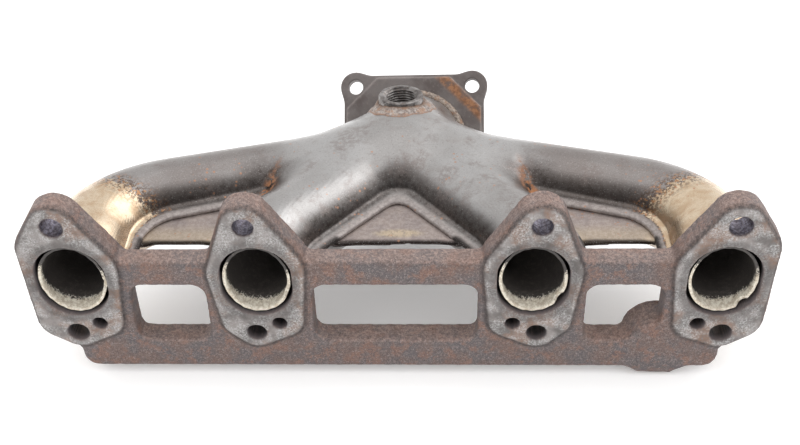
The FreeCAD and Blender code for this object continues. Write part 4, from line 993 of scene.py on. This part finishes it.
INNER = steel_material("inner_collector", (0.10, 0.085, 0.075), (0.22, 0.18, 0.15), 0.5, 0.7, 0.5)
PLUG = steel_material("plug_steel", (0.20, 0.18, 0.17), (0.32, 0.29, 0.27), 0.45, 0.6, 0.7)
WIRE = wire_material()
for name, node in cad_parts.items():
    if node.hide_render:
        continue
    if name.startswith("slip_ring"):
        look = WIRE
    elif name.startswith("gallery_plug"):
        look = PLUG
    else:
        look = INNER
    node.data.materials.clear()
    node.data.materials.append(look)


# ---- floor, light and camera ----

def area_light(name, place, aim, size, power):
    data = bpy.data.lights.new(name, "AREA")
    data.shape = "RECTANGLE"
    data.size, data.size_y = size
    data.energy = power
    obj = bpy.data.objects.new(name, data)
    obj.location = place
    obj.rotation_euler = (Vector(aim) - Vector(place)).to_track_quat("-Z", "Y").to_euler()
    bpy.context.scene.collection.objects.link(obj)


FLOOR_Z = CAD_BOX[0].z - 0.0002
PAPER_GLOW = 0.13
bpy.ops.mesh.primitive_plane_add(size=6, location=(0, 0.1, FLOOR_Z))
floor = bpy.context.object
floor.name = "floor"
paper = Material("white_paper")
paper_colour = paper.mix(paper.noise(60, 3), (0.95, 0.95, 0.95), (0.97, 0.97, 0.97))
floor.data.materials.append(paper.finish(paper_colour, 0.9, 0.0))
paper.shader.inputs["Emission Color"].default_value = (1, 1, 1, 1)
paper.shader.inputs["Emission Strength"].default_value = PAPER_GLOW
paper.shader.inputs["Specular IOR Level"].default_value = 0.1

area_light("top", (0.1, 0.2, 1.5), (0, 0.05, 0), (1.8, 1.4), 2)

# A white tent lights everything evenly. What the polished sheet reflects is darker towards the front,
# where the tent is open, with one bright panel at the back right.
STUDIO_DIFFUSE = 1.4
STUDIO_FRONT, STUDIO_BACK = 0.12, 0.95
PANEL_AZIMUTH, PANEL_ELEVATION, PANEL_GAIN = 56, 28, 1.4
SIDE_SHADE = 0.8
world = bpy.data.worlds.new("studio")
bpy.context.scene.world = world
world.use_nodes = True
world.cycles.sampling_method = "NONE"
tree = world.node_tree


def world_node(kind, links=(), **settings):
    node = tree.nodes.new(kind)
    for key, value in settings.items():
        setattr(node, key, value)
    for source, target in links:
        if isinstance(source, (int, float, tuple)):
            node.inputs[target].default_value = source
        else:
            tree.links.new(source, node.inputs[target])
    return node


def world_ramp(value, low, high, start, end):
    """Smooth change from start to end while value goes from low to high."""
    links = [(value, "Value"), (low, "From Min"), (high, "From Max"), (start, "To Min"), (end, "To Max")]
    return world_node("ShaderNodeMapRange", links, interpolation_type="SMOOTHSTEP").outputs[0]


def world_math(operation, a, b):
    return world_node("ShaderNodeMath", [(a, 0), (b, 1)], operation=operation).outputs[0]


def world_dot(a, b):
    return world_node("ShaderNodeVectorMath", [(a, 0), (b, 1)], operation="DOT_PRODUCT").outputs["Value"]


sky = world_node("ShaderNodeTexCoord").outputs["Generated"]
tent = world_ramp(world_dot(sky, (0, 1, 1.2)), -0.25, 0.95, STUDIO_FRONT, STUDIO_BACK)
azimuth, elevation = math.radians(PANEL_AZIMUTH), math.radians(PANEL_ELEVATION)
panel_way = (math.sin(azimuth) * math.cos(elevation), math.cos(azimuth) * math.cos(elevation),
             math.sin(elevation))
panel = world_ramp(world_dot(sky, panel_way), 0.83, 0.95, 0.0, PANEL_GAIN)
split = world_node("ShaderNodeSeparateXYZ", [(sky, 0)])
sides = world_ramp(world_math("ABSOLUTE", split.outputs["X"], 0.0), 0.5, 0.95, 0.0, SIDE_SHADE)
low = world_ramp(split.outputs["Z"], 0.0, 0.6, 1.0, 0.0)
kept = world_math("SUBTRACT", 1.0, world_math("MULTIPLY", sides, low))
seen = world_math("ADD", world_math("MULTIPLY", tent, kept), panel)
path = world_node("ShaderNodeLightPath").outputs["Is Glossy Ray"]
strength = world_node("ShaderNodeMix", [(path, 0), (STUDIO_DIFFUSE, 2), (seen, 3)]).outputs[0]
tree.links.new(strength, tree.nodes["Background"].inputs["Strength"])
tree.nodes["Background"].inputs["Color"].default_value = (1, 1, 1, 1)

CAMERA_PLACE = (0.0238, -0.3969, 0.3356)
CAMERA_PITCH, CAMERA_YAW, CAMERA_ROLL = 37.09, -2.89, -1.90
camera = bpy.data.objects.new("camera", bpy.data.cameras.new("camera"))
camera.data.lens, camera.data.sensor_width = 50, 36
camera.data.clip_start = 0.01
turn = (Matrix.Rotation(math.radians(-CAMERA_YAW), 4, "Z")
        @ Matrix.Rotation(math.radians(90 - CAMERA_PITCH), 4, "X")
        @ Matrix.Rotation(math.radians(CAMERA_ROLL), 4, "Z"))
camera.matrix_world = Matrix.Translation(CAMERA_PLACE) @ turn
bpy.context.scene.collection.objects.link(camera)
bpy.context.scene.camera = camera
bpy.context.scene.view_settings.view_transform = "Standard"
